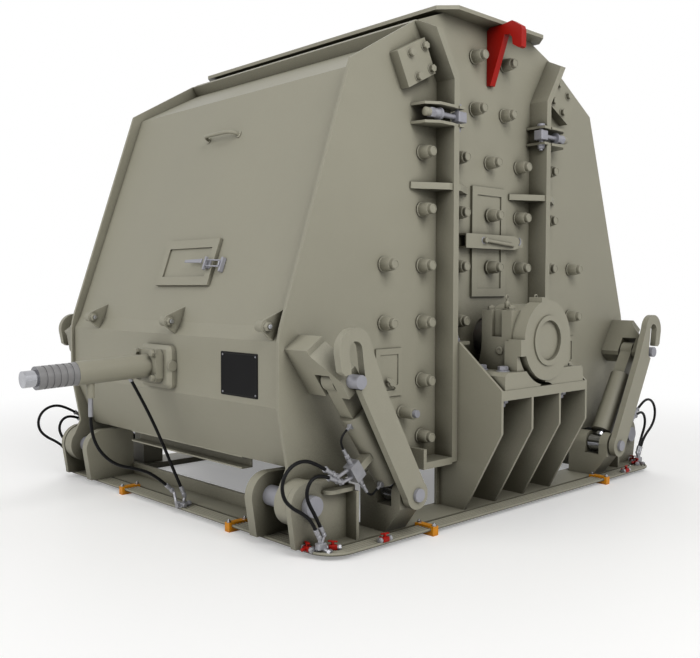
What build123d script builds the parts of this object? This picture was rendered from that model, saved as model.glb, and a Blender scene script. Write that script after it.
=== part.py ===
from build123d import *
import math
import os

os.makedirs("parts", exist_ok=True)

# Impact crusher with a fixed centre section, two hydraulically opened hoods and a horizontal rotor.
# Frame: origin at the bottom centre, +X across the machine to the right, -Y towards the near bearing, +Z up.
# The left hood lies on the -X side. Lengths are in millimetres, angles in degrees.

# Driving dimensions of the housing
WALL_OUT = 1100.0          # half width over the side plates
WALL_T = 20.0              # side plate thickness
PANEL_T = 16.0             # thickness of the hood panels
RIM = 28.0                 # how far the side plates stand proud of the vertical panel
ROOF_RIM = 50.0            # how far they stand proud of the inclined panel and the roof
SPLIT_X = 450.0            # half width of the centre section at the split flanges
FLANGE_T = 22.0            # thickness of each split flange
FLANGE_OUT = 130.0         # how far the split flanges stand out from the side plates
FLANGE_LOW_Z = 310.0       # lower end of the split flanges
HEAD_X = 421.0             # half width of the centre section under the feed flange
HEAD_Z = 2840.0            # underside of the feed flange
BEND_Z = HEAD_Z - 390.0    # height where the split flanges lean outward
SPLIT_TOP_X = 640.0        # upper end of the split flanges
SPLIT_TOP_Z = HEAD_Z - 83.0
ROOF_FLANGE_H = 85.0       # how far the split flanges stand above the roof
FEED_T = 22.0              # feed flange thickness
FEED_X = 500.0             # half length of the feed flange along X
FEED_Y = 1206.0            # half length of the feed flange along Y
FEED_CUT = 90.0            # corner chamfer of the feed flange
MOUTH_X = 380.0            # half size of the feed mouth
MOUTH_Y = 1040.0
CHUTE_LOW_Z = HEAD_Z - 400.0    # lower end of the feed chute walls
ROOF_KNEE_X = 1137.0       # roof bend of the hoods
ROOF_KNEE_Z = HEAD_Z - 372.0
BAND_X = 1600.0            # top of the short band above the vertical panel
BAND_Z = 1095.0
SIDE_X = 1614.0            # vertical panel
SIDE_TOP_Z = 1025.0
SIDE_LOW_Z = 703.0
SKIRT_X = 1558.0           # lower rear edge of the hood side plates
SKIRT_Z = 404.0
CHUTE_X = 1450.0           # foot of the sloping panel below the vertical panel
CHUTE_Z = 385.0
BEAM_W = 70.0              # lower channel of the hood
BEAM_T = 8.0
BEAM_Y = 590.0             # half length of the channel between the inner hinge lugs
GAP = 0.3                  # seat gap between pieces that part

# Base frame
BASE_X = 1450.0
BASE_Y = 1290.0
BASE_T = 40.0              # base flange thickness
BASE_R = 40.0              # corner radius of the base flange
BASE_WEB_X = 1300.0        # outer face of the upright base webs
BASE_WEB_Z = 115.0
BASE_WEB_T = 20.0

# Rotor and bearings
ROTOR_Z = 992.0
SHAFT_R = 105.0
SHAFT_BORE = 130.0         # hole in the side plates
DISC_R = 545.0
BAR_OUT = 95.0             # how far the blow bars stand out of the discs
TIP_R = DISC_R + BAR_OUT
CORE_R = 200.0             # drum between the discs
ROTOR_Y = 1040.0           # half length of the rotor body
DISC_T = 70.0
DISC_COUNT = 7
BAR_T = 90.0               # blow bar thickness
BAR_DEEP = 330.0           # radial depth of a blow bar
BAR_COUNT = 4
BEARING_FACE_Y = 1541.0    # front of the end cover
BEARING_BACK_Y = 1248.0
BODY_X = 235.0             # half width of the housing body
BODY_FRONT_Y = 1455.0
BODY_TOP_Z = 1165.0
FLARE_Y = 38.0             # how far the body widens towards its foot
BACK_FLARE_Y = 32.0
FOOT_X = 390.0             # half length of the housing foot
FOOT_H = 93.0
FOOT_BACK_Y = 1215.0
FOOT_FRONT_Y = 1530.0
HOUSING_R = 228.0          # end cover
LOWER_RING_R = 262.0       # half ring of the body under the end cover
LOWER_RING_Y = 1515.0
RING_R = 143.0             # raised ring round the cover plate
COVER_HOLE_R = 115.0
SEAT_Z = 733.0             # top of the pedestal

# Pedestals
PED_Y = 1535.0             # front face of the pedestal bar
PED_BAR_H = 55.0
PED_X = SPLIT_X - FLANGE_T - GAP    # half length of the pedestal bar, inside the split flanges
PED_PLATE_T = 18.0
PED_INNER_X = 147.0
PED_KNEE_Z = 499.0
PED_FOOT_Y = 1282.0
PED_EAR_Z = 985.0
PED_EAR_Y = 1236.0
SHELF_X = 138.0            # length of the shelf on top of the outer plates

# Hinges, pins and lift cylinders, given for the near left corner
HINGE_X = 1515.0
HINGE_Z = 240.0
HINGE_PIN_R = 52.0
LUG_R = 120.0
HOOD_PIN_X = 1410.0
HOOD_PIN_Z = 850.0
BASE_PIN_X = 997.0
BASE_PIN_Z = 248.0
PIN_R = 34.0
PIN_FIT = 0.15             # radial running fit on the pins
CYL_Y = 1280.0             # centre plane of the lift cylinders
CYL_R = 70.0
CYL_TOP = 205.0            # barrel end, from the hood pin
CYL_LOW = 645.0            # barrel end, from the hood pin
EYE_R = 58.0
EYE_W = 84.0               # width of the cylinder eyes
SLOT_W = 104.0             # width of the bracket slots
ROD_R = 32.0
ROD_FIT = 0.05
ROD_IN = 300.0             # rod length inside the barrel when closed
OPEN_FIT = 4.0             # radial clearance of the rod eye on the base pin
BRACKET_W = 118.0          # width of the hood bracket across its length
BRACKET_END_Y = 1392.0
BRACKET_TOP_Y = 1266.0
CLEVIS_R = 76.0            # half width of the base bracket and its round top

# Hook arms
ARM_Y = 1445.0             # outer face of the arms
ARM_T = 40.0
ARM_HALF = 66.0            # half width of the shank
SEAT_X = 1432.0            # where the hood pin lies in the hook when the hood is open
SEAT_TOP_Z = 1000.0
SLOT_HALF = 42.0
HOOK_R = 105.0
TIP_LEN = 105.0
PIN_END_Y = 1462.0

# Aprons
APRON_PIN_X = 1225.0
APRON_PIN_Z = 1620.0
APRON_T = 60.0
TOP_APRON_X = 700.0
TOP_APRON_Z = HEAD_Z - 335.0
APRON_PIN_R = 45.0
UPPER_APRON = [(-985.0, 1960.0), (-770.0, 1440.0)]
LOWER_APRON = [(-985.0, 1150.0), (-790.0, 720.0)]

# Adjusting cylinder of the lower apron
ADJ_Z = 853.0              # axis height at the vertical panel
ADJ_TILT = 2.4
ADJ_R = 65.0
ADJ_BODY_LEN = 524.0
ADJ_RIB_R = 62.0
ADJ_RIB_LEN = 218.0
ADJ_RIB_COUNT = 6
ADJ_GROOVE = 4.0           # depth of the grooves between the ribs
ADJ_TIP_LEN = 68.0
ADJ_ROD_R = 40.0
ROD_PUSH = 674.0           # rod length inside the hood
ADJ_TIP_R = 44.0
ADJ_BOX_X = 50.0           # bracket plate on the panel
ADJ_BOX_Y = 160.0
ADJ_BOX_LOW_Z = 722.0
ADJ_BOX_TOP_Z = 965.0
ADJ_FLANGE_Y = 106.0       # flange of the cylinder on the bracket
ADJ_FLANGE_Z = 92.0
ADJ_FLANGE_T = 46.0

# Pipes round the base
PIPE_R = 8.0
PIPE_PITCH = 20.0
PIPE_COUNT = 5
PIPE_Z = 32.0
PIPE_X = 1473.0            # innermost pipe beside the base flange
PIPE_Y = 1316.0
PIPE_BEND = 60.0           # bend radius of the innermost pipe
PIPE_END_Y = 1290.0        # where the pipes end at the far corners
CLAMP_W = 40.0
CLAMP_H = 50.0
CLAMP_OUT = 15.0           # how far a clamp reaches past the outermost pipe
CLAMP_FIT = 0.3
CLAMPS_SIDE_Y = (-614.0, 520.0)
CLAMPS_FRONT_X = (-828.0, 896.0)

# Hoses
HOSE_R = 9.0
HOSE_Y = 1300.0            # plane of the hoses at the corners

ENDS = ("near", "far")
SIDES = ("left", "right")


def plate_xz(points, y_outer, thickness):
    """Plate standing in a plane along X and Z, with its outer face at -y_outer."""
    with BuildPart() as plate:
        with BuildSketch(Plane.XZ.offset(y_outer - thickness)):
            with BuildLine():
                Polyline(*points, close=True)
            make_face()
        extrude(amount=thickness)
    return plate.part


def along(start, end, distance):
    """Point at a distance from start towards end."""
    length = math.dist(start, end)
    return tuple(a + (b - a) * distance / length for a, b in zip(start, end))


def slab(width, depth, height, centre):
    """Block with its sides along the axes, given by its centre."""
    with BuildPart() as block:
        with Locations(centre):
            Box(width, depth, height)
    return block.part


def copies(part, name, side, end):
    """Copy of a near left piece for another corner, labelled and written."""
    with BuildPart() as piece:
        add(part)
        if side == "right":
            mirror(about=Plane.YZ, mode=Mode.REPLACE)
        if end == "far":
            mirror(about=Plane.XZ, mode=Mode.REPLACE)
    piece.part.label = name
    export_step(piece.part, f"parts/{name}.step")
    return piece.part


# Base frame: flange all round, upright webs on the -X and +X sides and a sill under the side plates
with BuildPart() as base_frame:
    with BuildSketch():
        RectangleRounded(2 * BASE_X, 2 * BASE_Y, BASE_R)
        Rectangle(2 * (BASE_WEB_X - BASE_WEB_T), 2 * (WALL_OUT - 2 * WALL_T), mode=Mode.SUBTRACT)
    extrude(amount=BASE_T)
    with BuildSketch(Plane.XY.offset(BASE_T)):
        for s in (-1, 1):
            with Locations((s * (BASE_WEB_X - BASE_WEB_T / 2), 0)):
                Rectangle(BASE_WEB_T, 2 * WALL_OUT - 4 * WALL_T)
            with Locations((0, s * (WALL_OUT - WALL_T / 2))):
                Rectangle(2 * SPLIT_X, WALL_T)
    extrude(amount=BASE_WEB_Z - BASE_T)
base_frame.part.label = "base_frame"
export_step(base_frame.part, "parts/base_frame.step")

# Centre section side wall with the two split flanges, near side
wall_points = [
    (-SPLIT_X, BASE_WEB_Z),
    (-SPLIT_X, BEND_Z),
    (-SPLIT_TOP_X, SPLIT_TOP_Z),
    (-HEAD_X, HEAD_Z),
    (HEAD_X, HEAD_Z),
    (SPLIT_TOP_X, SPLIT_TOP_Z),
    (SPLIT_X, BEND_Z),
    (SPLIT_X, BASE_WEB_Z),
]
bend = (-SPLIT_X, BEND_Z)
split_top = (-SPLIT_TOP_X, SPLIT_TOP_Z)
lean = math.atan2(SPLIT_TOP_X - SPLIT_X, SPLIT_TOP_Z - BEND_Z)
flange_dx = FLANGE_T * math.cos(lean)
flange_dz = FLANGE_T * math.sin(lean)
bend_in = FLANGE_T * math.tan(lean / 2)
centre_flange = [
    (-SPLIT_X, FLANGE_LOW_Z),
    bend,
    split_top,
    (split_top[0] + flange_dx, split_top[1] + flange_dz),
    (-SPLIT_X + FLANGE_T, BEND_Z + bend_in),
    (-SPLIT_X + FLANGE_T, FLANGE_LOW_Z),
]
hood_flange = [
    (-SPLIT_X - GAP, FLANGE_LOW_Z),
    (-SPLIT_X - GAP, BEND_Z),
    (split_top[0] - GAP, split_top[1]),
    (split_top[0] - GAP - flange_dx, split_top[1] - flange_dz),
    (-SPLIT_X - GAP - FLANGE_T, BEND_Z - bend_in),
    (-SPLIT_X - GAP - FLANGE_T, FLANGE_LOW_Z),
]

# Slanted upper end of the split flanges, seen along X
FLANGE_SLANT = 62.0
flange_edge = WALL_OUT + FLANGE_OUT
slant_points = [
    (-WALL_OUT, SPLIT_TOP_Z),
    (-flange_edge - FLANGE_T, SPLIT_TOP_Z - FLANGE_SLANT * (FLANGE_OUT + FLANGE_T) / FLANGE_OUT),
    (-flange_edge - FLANGE_T, HEAD_Z),
    (-WALL_OUT, HEAD_Z),
]

# Forks for the swing bolts and ribs across the split flanges
FORK_Z = (2185.0, 2285.0)
FORK_T = 15.0
FORK_OUT = 1238.0
FORK_X = 690.0             # end of the forks on the hoods
FORK_NOTCH_Y = 1165.0      # inner end of the flange notches for the bolts
RIB_Z = 1835.0
RIB_T = 36.0
RIB_OUT = 1222.0
RIB_END = 12.0
RIB_LEN = 223.0            # length of a rib on the wall
RIB_FLAT = 28.0            # length of its flat outer edge
flange_in = SPLIT_X - FLANGE_T


def fork_notch():
    """Notch between the two forks through both split flanges."""
    low = FORK_Z[0] + FORK_T
    high = FORK_Z[1]
    depth = flange_edge - FORK_NOTCH_Y
    centre = (-SPLIT_X, -FORK_NOTCH_Y - depth / 2, (low + high) / 2)
    return slab(6 * FLANGE_T, depth, high - low, centre)


with BuildPart() as centre_wall:
    add(plate_xz(wall_points, WALL_OUT, WALL_T))
    add(plate_xz(centre_flange, WALL_OUT + FLANGE_OUT, FLANGE_OUT))
    add(fork_notch(), mode=Mode.SUBTRACT)
    for z in FORK_Z:
        with BuildSketch(Plane.XY.offset(z)):
            with Locations((-flange_in + FORK_T, -(WALL_OUT + FORK_OUT) / 2)):
                Rectangle(2 * FORK_T + FORK_T, FORK_OUT - WALL_OUT)
        extrude(amount=FORK_T)
    with BuildSketch(Plane.XY.offset(RIB_Z)):
        with BuildLine():
            Polyline(
                (-flange_in, -WALL_OUT),
                (-flange_in, -RIB_OUT),
                (-flange_in + RIB_FLAT, -RIB_OUT),
                (-flange_in + RIB_LEN, -WALL_OUT - RIB_END),
                (-flange_in + RIB_LEN, -WALL_OUT),
                close=True,
            )
        make_face()
    extrude(amount=RIB_T)
    with BuildSketch(Plane.YZ):
        with BuildLine():
            Polyline(*slant_points, close=True)
        make_face()
    extrude(amount=-SPLIT_TOP_X - 2 * FLANGE_T, mode=Mode.SUBTRACT)
    mirror(about=Plane.YZ)
    with Locations((0, -WALL_OUT + WALL_T / 2, ROTOR_Z)):
        Cylinder(SHAFT_BORE, 2 * WALL_T, rotation=(90, 0, 0), mode=Mode.SUBTRACT)
for end in ENDS:
    copies(centre_wall.part, f"centre_wall_{end}", "left", end)

# Feed head: roof strips, roof flanges, chute walls and the feed flange
with BuildPart() as feed_head:
    inner = WALL_OUT - WALL_T
    roof_strip = [
        (-SPLIT_TOP_X, SPLIT_TOP_Z),
        (-HEAD_X, HEAD_Z),
        (-MOUTH_X - PANEL_T, HEAD_Z),
        (-MOUTH_X - PANEL_T, HEAD_Z - PANEL_T),
        (-HEAD_X, HEAD_Z - PANEL_T),
        (-SPLIT_TOP_X + PANEL_T, SPLIT_TOP_Z - PANEL_T),
    ]
    roof_split = [
        along(split_top, bend, ROOF_FLANGE_H + 60.0),
        split_top,
        (split_top[0] + flange_dx, split_top[1] + flange_dz),
    ]
    roof_split.append((roof_split[0][0] + flange_dx, roof_split[0][1] + flange_dz))
    for points in (roof_strip, roof_split):
        with BuildSketch(Plane.XZ):
            with BuildLine():
                Polyline(*points, close=True)
            make_face()
        extrude(amount=inner, both=True)
    with BuildSketch(Plane.XZ):
        with Locations((-MOUTH_X - PANEL_T / 2, (CHUTE_LOW_Z + HEAD_Z) / 2)):
            Rectangle(PANEL_T, HEAD_Z - CHUTE_LOW_Z)
    extrude(amount=inner, both=True)
    mirror(about=Plane.YZ)
    with BuildSketch(Plane.XY.offset(HEAD_Z)):
        Rectangle(2 * FEED_X, 2 * FEED_Y)
        chamfer(vertices(), FEED_CUT)
        Rectangle(2 * MOUTH_X, 2 * MOUTH_Y, mode=Mode.SUBTRACT)
    extrude(amount=FEED_T)
feed_head.part.label = "feed_head"
export_step(feed_head.part, "parts/feed_head.step")

# Pedestal with its bar, four kneed plates and a back plate, near side
with BuildPart() as pedestal:
    outer_plate = [
        (-PED_FOOT_Y, BASE_T),
        (-PED_Y, PED_KNEE_Z),
        (-PED_Y, SEAT_Z),
        (-PED_EAR_Y, PED_EAR_Z),
        (-WALL_OUT - GAP, PED_EAR_Z),
        (-WALL_OUT - GAP, BASE_T),
    ]
    inner_plate = [
        (-PED_FOOT_Y, BASE_T),
        (-PED_Y, PED_KNEE_Z),
        (-PED_Y, SEAT_Z - PED_BAR_H),
        (-WALL_OUT - GAP, SEAT_Z - PED_BAR_H),
        (-WALL_OUT - GAP, BASE_T),
    ]
    with BuildSketch(Plane.XY.offset(PED_EAR_Z - PED_PLATE_T)):
        with BuildLine():
            Polyline(
                (-PED_X, -WALL_OUT - GAP),
                (-PED_X, -PED_EAR_Y + PED_PLATE_T),
                (-PED_X + SHELF_X - PED_PLATE_T, -PED_EAR_Y + PED_PLATE_T),
                (-PED_X + SHELF_X, -PED_EAR_Y + 2 * PED_PLATE_T),
                (-PED_X + SHELF_X, -WALL_OUT - GAP),
                close=True,
            )
        make_face()
    extrude(amount=PED_PLATE_T)
    for x, points in ((-PED_X, outer_plate), (-PED_INNER_X, inner_plate)):
        with BuildSketch(Plane.YZ.offset(x)):
            with BuildLine():
                Polyline(*points, close=True)
            make_face()
        extrude(amount=PED_PLATE_T)
    mirror(about=Plane.YZ)
    with BuildSketch(Plane.XY.offset(SEAT_Z - PED_BAR_H)):
        with Locations((0, -(PED_Y + WALL_OUT + GAP) / 2)):
            Rectangle(2 * PED_X, PED_Y - WALL_OUT - GAP)
    extrude(amount=PED_BAR_H)
for end in ENDS:
    copies(pedestal.part, f"pedestal_{end}", "left", end)

# Bearing housing on its foot: flared body, half ring with a groove, end cover with boss and block
BODY_KNEE_Z = 1000.0       # where the flare begins
RECESS_LOW_Z = 1014.0      # recess in each end of the body
RECESS_Y = (1318.0, 1388.0)
RECESS_DEEP = 26.0
SIDE_BLOCK_Z = (912.0, 1004.0)
BOSS_X = (-67.0, -7.0)
BOSS_TOP_Z = 1238.0
ARCH_R = 110.0             # arch under the foot
ARCH_H = 20.0
foot_top = SEAT_Z + FOOT_H
with BuildPart() as bearing:
    with BuildSketch(Plane.XY.offset(SEAT_Z)):
        with Locations((0, -(FOOT_FRONT_Y + FOOT_BACK_Y) / 2)):
            Rectangle(2 * FOOT_X, FOOT_FRONT_Y - FOOT_BACK_Y)
    extrude(amount=FOOT_H)
    chamfer(edges().group_by(Axis.Z)[-1].filter_by(Axis.Y), 18)
    with BuildSketch(Plane.YZ.offset(-BODY_X)):
        with BuildLine():
            Line((-BEARING_BACK_Y, BODY_KNEE_Z), (-BEARING_BACK_Y, BODY_TOP_Z))
            Line((-BEARING_BACK_Y, BODY_TOP_Z), (-BODY_FRONT_Y, BODY_TOP_Z))
            Line((-BODY_FRONT_Y, BODY_TOP_Z), (-BODY_FRONT_Y, BODY_KNEE_Z))
            TangentArc((-BODY_FRONT_Y, BODY_KNEE_Z), (-BODY_FRONT_Y - FLARE_Y, foot_top), tangent=(0, -1))
            Line((-BODY_FRONT_Y - FLARE_Y, foot_top), (-BEARING_BACK_Y + BACK_FLARE_Y, foot_top))
            TangentArc((-BEARING_BACK_Y, BODY_KNEE_Z), (-BEARING_BACK_Y + BACK_FLARE_Y, foot_top), tangent=(0, -1))
        make_face()
    extrude(amount=2 * BODY_X)
    for x in (-BODY_X, BODY_X):
        with Locations((x, -sum(RECESS_Y) / 2, (RECESS_LOW_Z + BODY_TOP_Z) / 2 + RECESS_DEEP)):
            Box(
                2 * RECESS_DEEP,
                RECESS_Y[1] - RECESS_Y[0],
                BODY_TOP_Z - RECESS_LOW_Z + 2 * RECESS_DEEP,
                mode=Mode.SUBTRACT,
            )
    with BuildSketch(Plane.XZ.offset(BODY_FRONT_Y - RECESS_DEEP)):
        with Locations((0, ROTOR_Z)):
            Circle(LOWER_RING_R)
        with Locations((0, ROTOR_Z + LOWER_RING_R)):
            Rectangle(2 * LOWER_RING_R, 2 * LOWER_RING_R, mode=Mode.SUBTRACT)
        with Locations((0, (SEAT_Z + ROTOR_Z) / 2)):
            Rectangle(2 * LOWER_RING_R, ROTOR_Z - SEAT_Z)
    extrude(amount=LOWER_RING_Y - BODY_FRONT_Y + RECESS_DEEP)
    with BuildSketch(Plane.XZ.offset(LOWER_RING_Y - 2 * RECESS_DEEP)):
        with BuildLine():
            CenterArc((0, ROTOR_Z), (HOUSING_R + LOWER_RING_R) / 2 - 10, 198, 70)
        trace(line_width=38)
    extrude(amount=3 * RECESS_DEEP, mode=Mode.SUBTRACT)
    with BuildSketch(Plane.XZ.offset(BEARING_BACK_Y - 20)):
        with Locations((0, ROTOR_Z)):
            Circle(HOUSING_R - 22)
    extrude(amount=BEARING_FACE_Y - BEARING_BACK_Y + 20)
    with BuildSketch(Plane.XZ.offset(BODY_FRONT_Y)):
        with Locations((0, ROTOR_Z)):
            Circle(HOUSING_R)
            Circle(HOUSING_R - 40, mode=Mode.SUBTRACT)
        with Locations((-HOUSING_R - 4, sum(SIDE_BLOCK_Z) / 2)):
            Rectangle(60, SIDE_BLOCK_Z[1] - SIDE_BLOCK_Z[0])
        with Locations((sum(BOSS_X) / 2, (ROTOR_Z + HOUSING_R + BOSS_TOP_Z) / 2 - 10)):
            Rectangle(BOSS_X[1] - BOSS_X[0], BOSS_TOP_Z - ROTOR_Z - HOUSING_R + 20)
    extrude(amount=BEARING_FACE_Y - BODY_FRONT_Y)
    with BuildSketch(Plane.XZ.offset(BEARING_FACE_Y)):
        with Locations((0, ROTOR_Z)):
            Circle(RING_R)
    extrude(amount=10)
    with BuildSketch(Plane.XZ.offset(BEARING_FACE_Y - 12)):
        with Locations((0, ROTOR_Z)):
            Circle(COVER_HOLE_R)
    extrude(amount=40, mode=Mode.SUBTRACT)
    with BuildSketch(Plane.XZ.offset(BEARING_BACK_Y - 40)):
        with Locations((0, ROTOR_Z)):
            Circle(SHAFT_R + PIN_FIT)
    extrude(amount=BEARING_FACE_Y - BEARING_BACK_Y - 20, mode=Mode.SUBTRACT)
    with BuildSketch(Plane.XZ.offset(FOOT_BACK_Y - 20)):
        with Locations((0, SEAT_Z - ARCH_R + ARCH_H)):
            Circle(ARCH_R)
    extrude(amount=FOOT_FRONT_Y - FOOT_BACK_Y + 40, mode=Mode.SUBTRACT)
for end in ENDS:
    copies(bearing.part, f"bearing_{end}", "left", end)

# Rotor body: shaft, discs and core
with BuildPart() as rotor_body:
    with BuildSketch(Plane.XZ):
        with Locations((0, ROTOR_Z)):
            Circle(SHAFT_R)
    extrude(amount=BEARING_FACE_Y - 62, both=True)
    with BuildSketch(Plane.XZ):
        with Locations((0, ROTOR_Z)):
            Circle(CORE_R)
    extrude(amount=ROTOR_Y, both=True)
    disc_pitch = (2 * ROTOR_Y - DISC_T) / (DISC_COUNT - 1)
    for index in range(DISC_COUNT):
        with BuildSketch(Plane.XZ.offset(-ROTOR_Y + index * disc_pitch)):
            with Locations((0, ROTOR_Z)):
                Circle(DISC_R)
                with PolarLocations(TIP_R - BAR_DEEP / 2, BAR_COUNT):
                    Rectangle(BAR_DEEP, BAR_T, mode=Mode.SUBTRACT)
        extrude(amount=DISC_T)
rotor_body.part.label = "rotor_body"
export_step(rotor_body.part, "parts/rotor_body.step")

# Blow bars seated in the disc slots
with BuildPart() as blow_bars:
    with BuildSketch(Plane.XZ):
        with Locations((0, ROTOR_Z)):
            with PolarLocations(TIP_R - BAR_DEEP / 2, BAR_COUNT):
                Rectangle(BAR_DEEP, BAR_T - 2 * GAP)
    extrude(amount=ROTOR_Y, both=True)
blow_bars.part.label = "blow_bars"
export_step(blow_bars.part, "parts/blow_bars.step")

# Corner bracket of the base, near left: two hinge lugs, gusset, cap, clevis for the cylinder, both pins
hinge = (-HINGE_X, HINGE_Z)
base_pin = (-BASE_PIN_X, BASE_PIN_Z)
LUG_OUT_Y = 1212.0
LUG_T = 36.0
INNER_LUG_Y = 850.0        # inner face of the second hinge lug
INNER_LUG_T = 60.0
HOOD_LUG_Y = LUG_OUT_Y - LUG_T - 6.0
GUSSET_X = 1257.0
GUSSET_T = 18.0
CAP_Z = 285.0              # underside of the cap plate on the gusset
CAP_T = 20.0
CAP_X = 1440.0             # outer end of the cap plate
CAP_IN_X = 1235.0
CAP_Y = 1265.0
CAP_R = 55.0
CLEVIS_CUT_Z = 60.0        # how far the clevis front runs down below the base pin
with BuildPart() as corner:
    for y, thick, end_x, drop in (
        (LUG_OUT_Y, LUG_T, GUSSET_X, 25),
        (INNER_LUG_Y + INNER_LUG_T, INNER_LUG_T, BASE_WEB_X, 5),
    ):
        with BuildSketch(Plane.XZ.offset(y - thick)):
            with Locations(hinge):
                Circle(LUG_R)
            with BuildLine():
                Polyline(
                    (-HINGE_X - LUG_R * 0.75, BASE_T),
                    (-HINGE_X - LUG_R * 0.97, HINGE_Z - 30),
                    (-HINGE_X, HINGE_Z + LUG_R),
                    (-end_x, HINGE_Z + LUG_R - drop),
                    (-end_x, BASE_T),
                    close=True,
                )
            make_face()
        extrude(amount=thick)
    with BuildSketch(Plane.YZ.offset(-GUSSET_X - GUSSET_T)):
        with Locations((-(WALL_OUT + GAP + BASE_Y) / 2, (BASE_T + CAP_Z) / 2)):
            Rectangle(BASE_Y - WALL_OUT - 6, CAP_Z - BASE_T)
    extrude(amount=GUSSET_T)
    with BuildSketch(Plane.XY.offset(CAP_Z)):
        with BuildLine():
            FilletPolyline(
                (-CAP_X, -LUG_OUT_Y),
                (-CAP_X, -CAP_Y),
                (-CAP_IN_X, -CAP_Y),
                (-CAP_IN_X, -LUG_OUT_Y),
                radius=CAP_R * 0.9,
            )
            Polyline(
                (-CAP_IN_X, -LUG_OUT_Y),
                (-CAP_IN_X, -LUG_OUT_Y + LUG_T),
                (-CAP_X, -LUG_OUT_Y + LUG_T),
                (-CAP_X, -LUG_OUT_Y),
            )
        make_face()
    extrude(amount=CAP_T)
    with BuildSketch(Plane.XZ.offset(LUG_OUT_Y - 2)):
        with Locations(hinge):
            Circle(HINGE_PIN_R)
    extrude(amount=42)
    with BuildSketch(Plane.XZ.offset(INNER_LUG_Y)):
        with Locations(hinge):
            Circle(HINGE_PIN_R)
    extrude(amount=LUG_OUT_Y - INNER_LUG_Y)
    with BuildSketch(Plane.XZ.offset(WALL_OUT + 6)):
        with Locations(base_pin):
            Circle(CLEVIS_R)
        with Locations((base_pin[0], (BASE_PIN_Z + BASE_T) / 2)):
            Rectangle(2 * CLEVIS_R, BASE_PIN_Z - BASE_T)
    extrude(amount=BRACKET_END_Y - WALL_OUT - 6)
    with BuildSketch(Plane.YZ.offset(-BASE_PIN_X)):
        with BuildLine():
            Polyline(
                (-BRACKET_END_Y - 10, BASE_PIN_Z - CLEVIS_CUT_Z),
                (-BASE_Y + 2, BASE_T),
                (-BRACKET_END_Y - 10, 0),
                close=True,
            )
        make_face()
        with Locations((-CYL_Y, BASE_PIN_Z + 60)):
            Rectangle(SLOT_W, 250)
    extrude(amount=2 * CLEVIS_R, both=True, mode=Mode.SUBTRACT)
    with BuildSketch(Plane.XZ.offset(WALL_OUT + 40)):
        with Locations(base_pin):
            Circle(PIN_R)
    extrude(amount=PIN_END_Y - WALL_OUT - 40)
for side in SIDES:
    for end in ENDS:
        copies(corner.part, f"corner_bracket_{end}_{side}", side, end)

# Axis of the left adjusting cylinder, from the outer face of the vertical panel
tilt = math.radians(ADJ_TILT)
adj_start = (-SIDE_X + RIM - PANEL_T / 2, ADJ_Z)
adj_dir = (-math.cos(tilt), -math.sin(tilt))
adj_plane = Plane(
    origin=(adj_start[0], 0, adj_start[1]),
    x_dir=(0, 1, 0),
    z_dir=(adj_dir[0], 0, adj_dir[1]),
)

# Hood shell, left: side plates, panels, cross beam and split flanges
hood_side = [
    (-SPLIT_X - GAP - FLANGE_T / 2, FLANGE_LOW_Z),
    (-SPLIT_X - GAP - FLANGE_T / 2, BEND_Z),
    (-SPLIT_TOP_X - GAP - FLANGE_T / 2, SPLIT_TOP_Z - 4),
    (-ROOF_KNEE_X, ROOF_KNEE_Z),
    (-BAND_X, BAND_Z),
    (-SIDE_X, SIDE_TOP_Z),
    (-SIDE_X, SIDE_LOW_Z),
    (-SKIRT_X, SKIRT_Z),
    (-HINGE_X - LUG_R + 8, HINGE_Z + 30),
    (-HINGE_X, HINGE_Z),
    (-HINGE_X + LUG_R, FLANGE_LOW_Z),
]
roof_low = along(split_top, bend, ROOF_FLANGE_H)
KNEE_IN_X = 65.0           # panel bend inside the bend of the side plates
KNEE_IN_Z = 29.0
panel_knee = (-ROOF_KNEE_X + KNEE_IN_X, ROOF_KNEE_Z - KNEE_IN_Z)
panel_foot = (-BAND_X + ROOF_RIM + 3, BAND_Z)
panel_line = [
    (roof_low[0] - GAP - FLANGE_T / 2, roof_low[1]),
    panel_knee,
    panel_foot,
    (-SIDE_X + RIM, SIDE_TOP_Z),
    (-SIDE_X + RIM, SIDE_LOW_Z),
    (-CHUTE_X, CHUTE_Z),
]
panel_len = math.dist(panel_foot, panel_knee)
panel_up = ((panel_knee[0] - panel_foot[0]) / panel_len, (panel_knee[1] - panel_foot[1]) / panel_len)
panel_out = (-panel_up[1], panel_up[0])


def panel_plane(z, out):
    """Plane on the inclined panel at height z, raised by out from its middle."""
    along_up = (z - panel_foot[1]) / panel_up[1]
    return Plane(
        origin=(
            panel_foot[0] + panel_up[0] * along_up + panel_out[0] * out,
            0,
            panel_foot[1] + panel_up[1] * along_up + panel_out[1] * out,
        ),
        x_dir=(0, -1, 0),
        z_dir=(panel_out[0], 0, panel_out[1]),
    )


roof_edge = [
    along(split_top, bend, ROOF_FLANGE_H + 60.0),
    split_top,
]
hood_roof_flange = [
    (roof_edge[0][0] - GAP, roof_edge[0][1]),
    (roof_edge[1][0] - GAP, roof_edge[1][1]),
    (roof_edge[1][0] - GAP - flange_dx, roof_edge[1][1] - flange_dz),
    (roof_edge[0][0] - GAP - flange_dx, roof_edge[0][1] - flange_dz),
]

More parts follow.
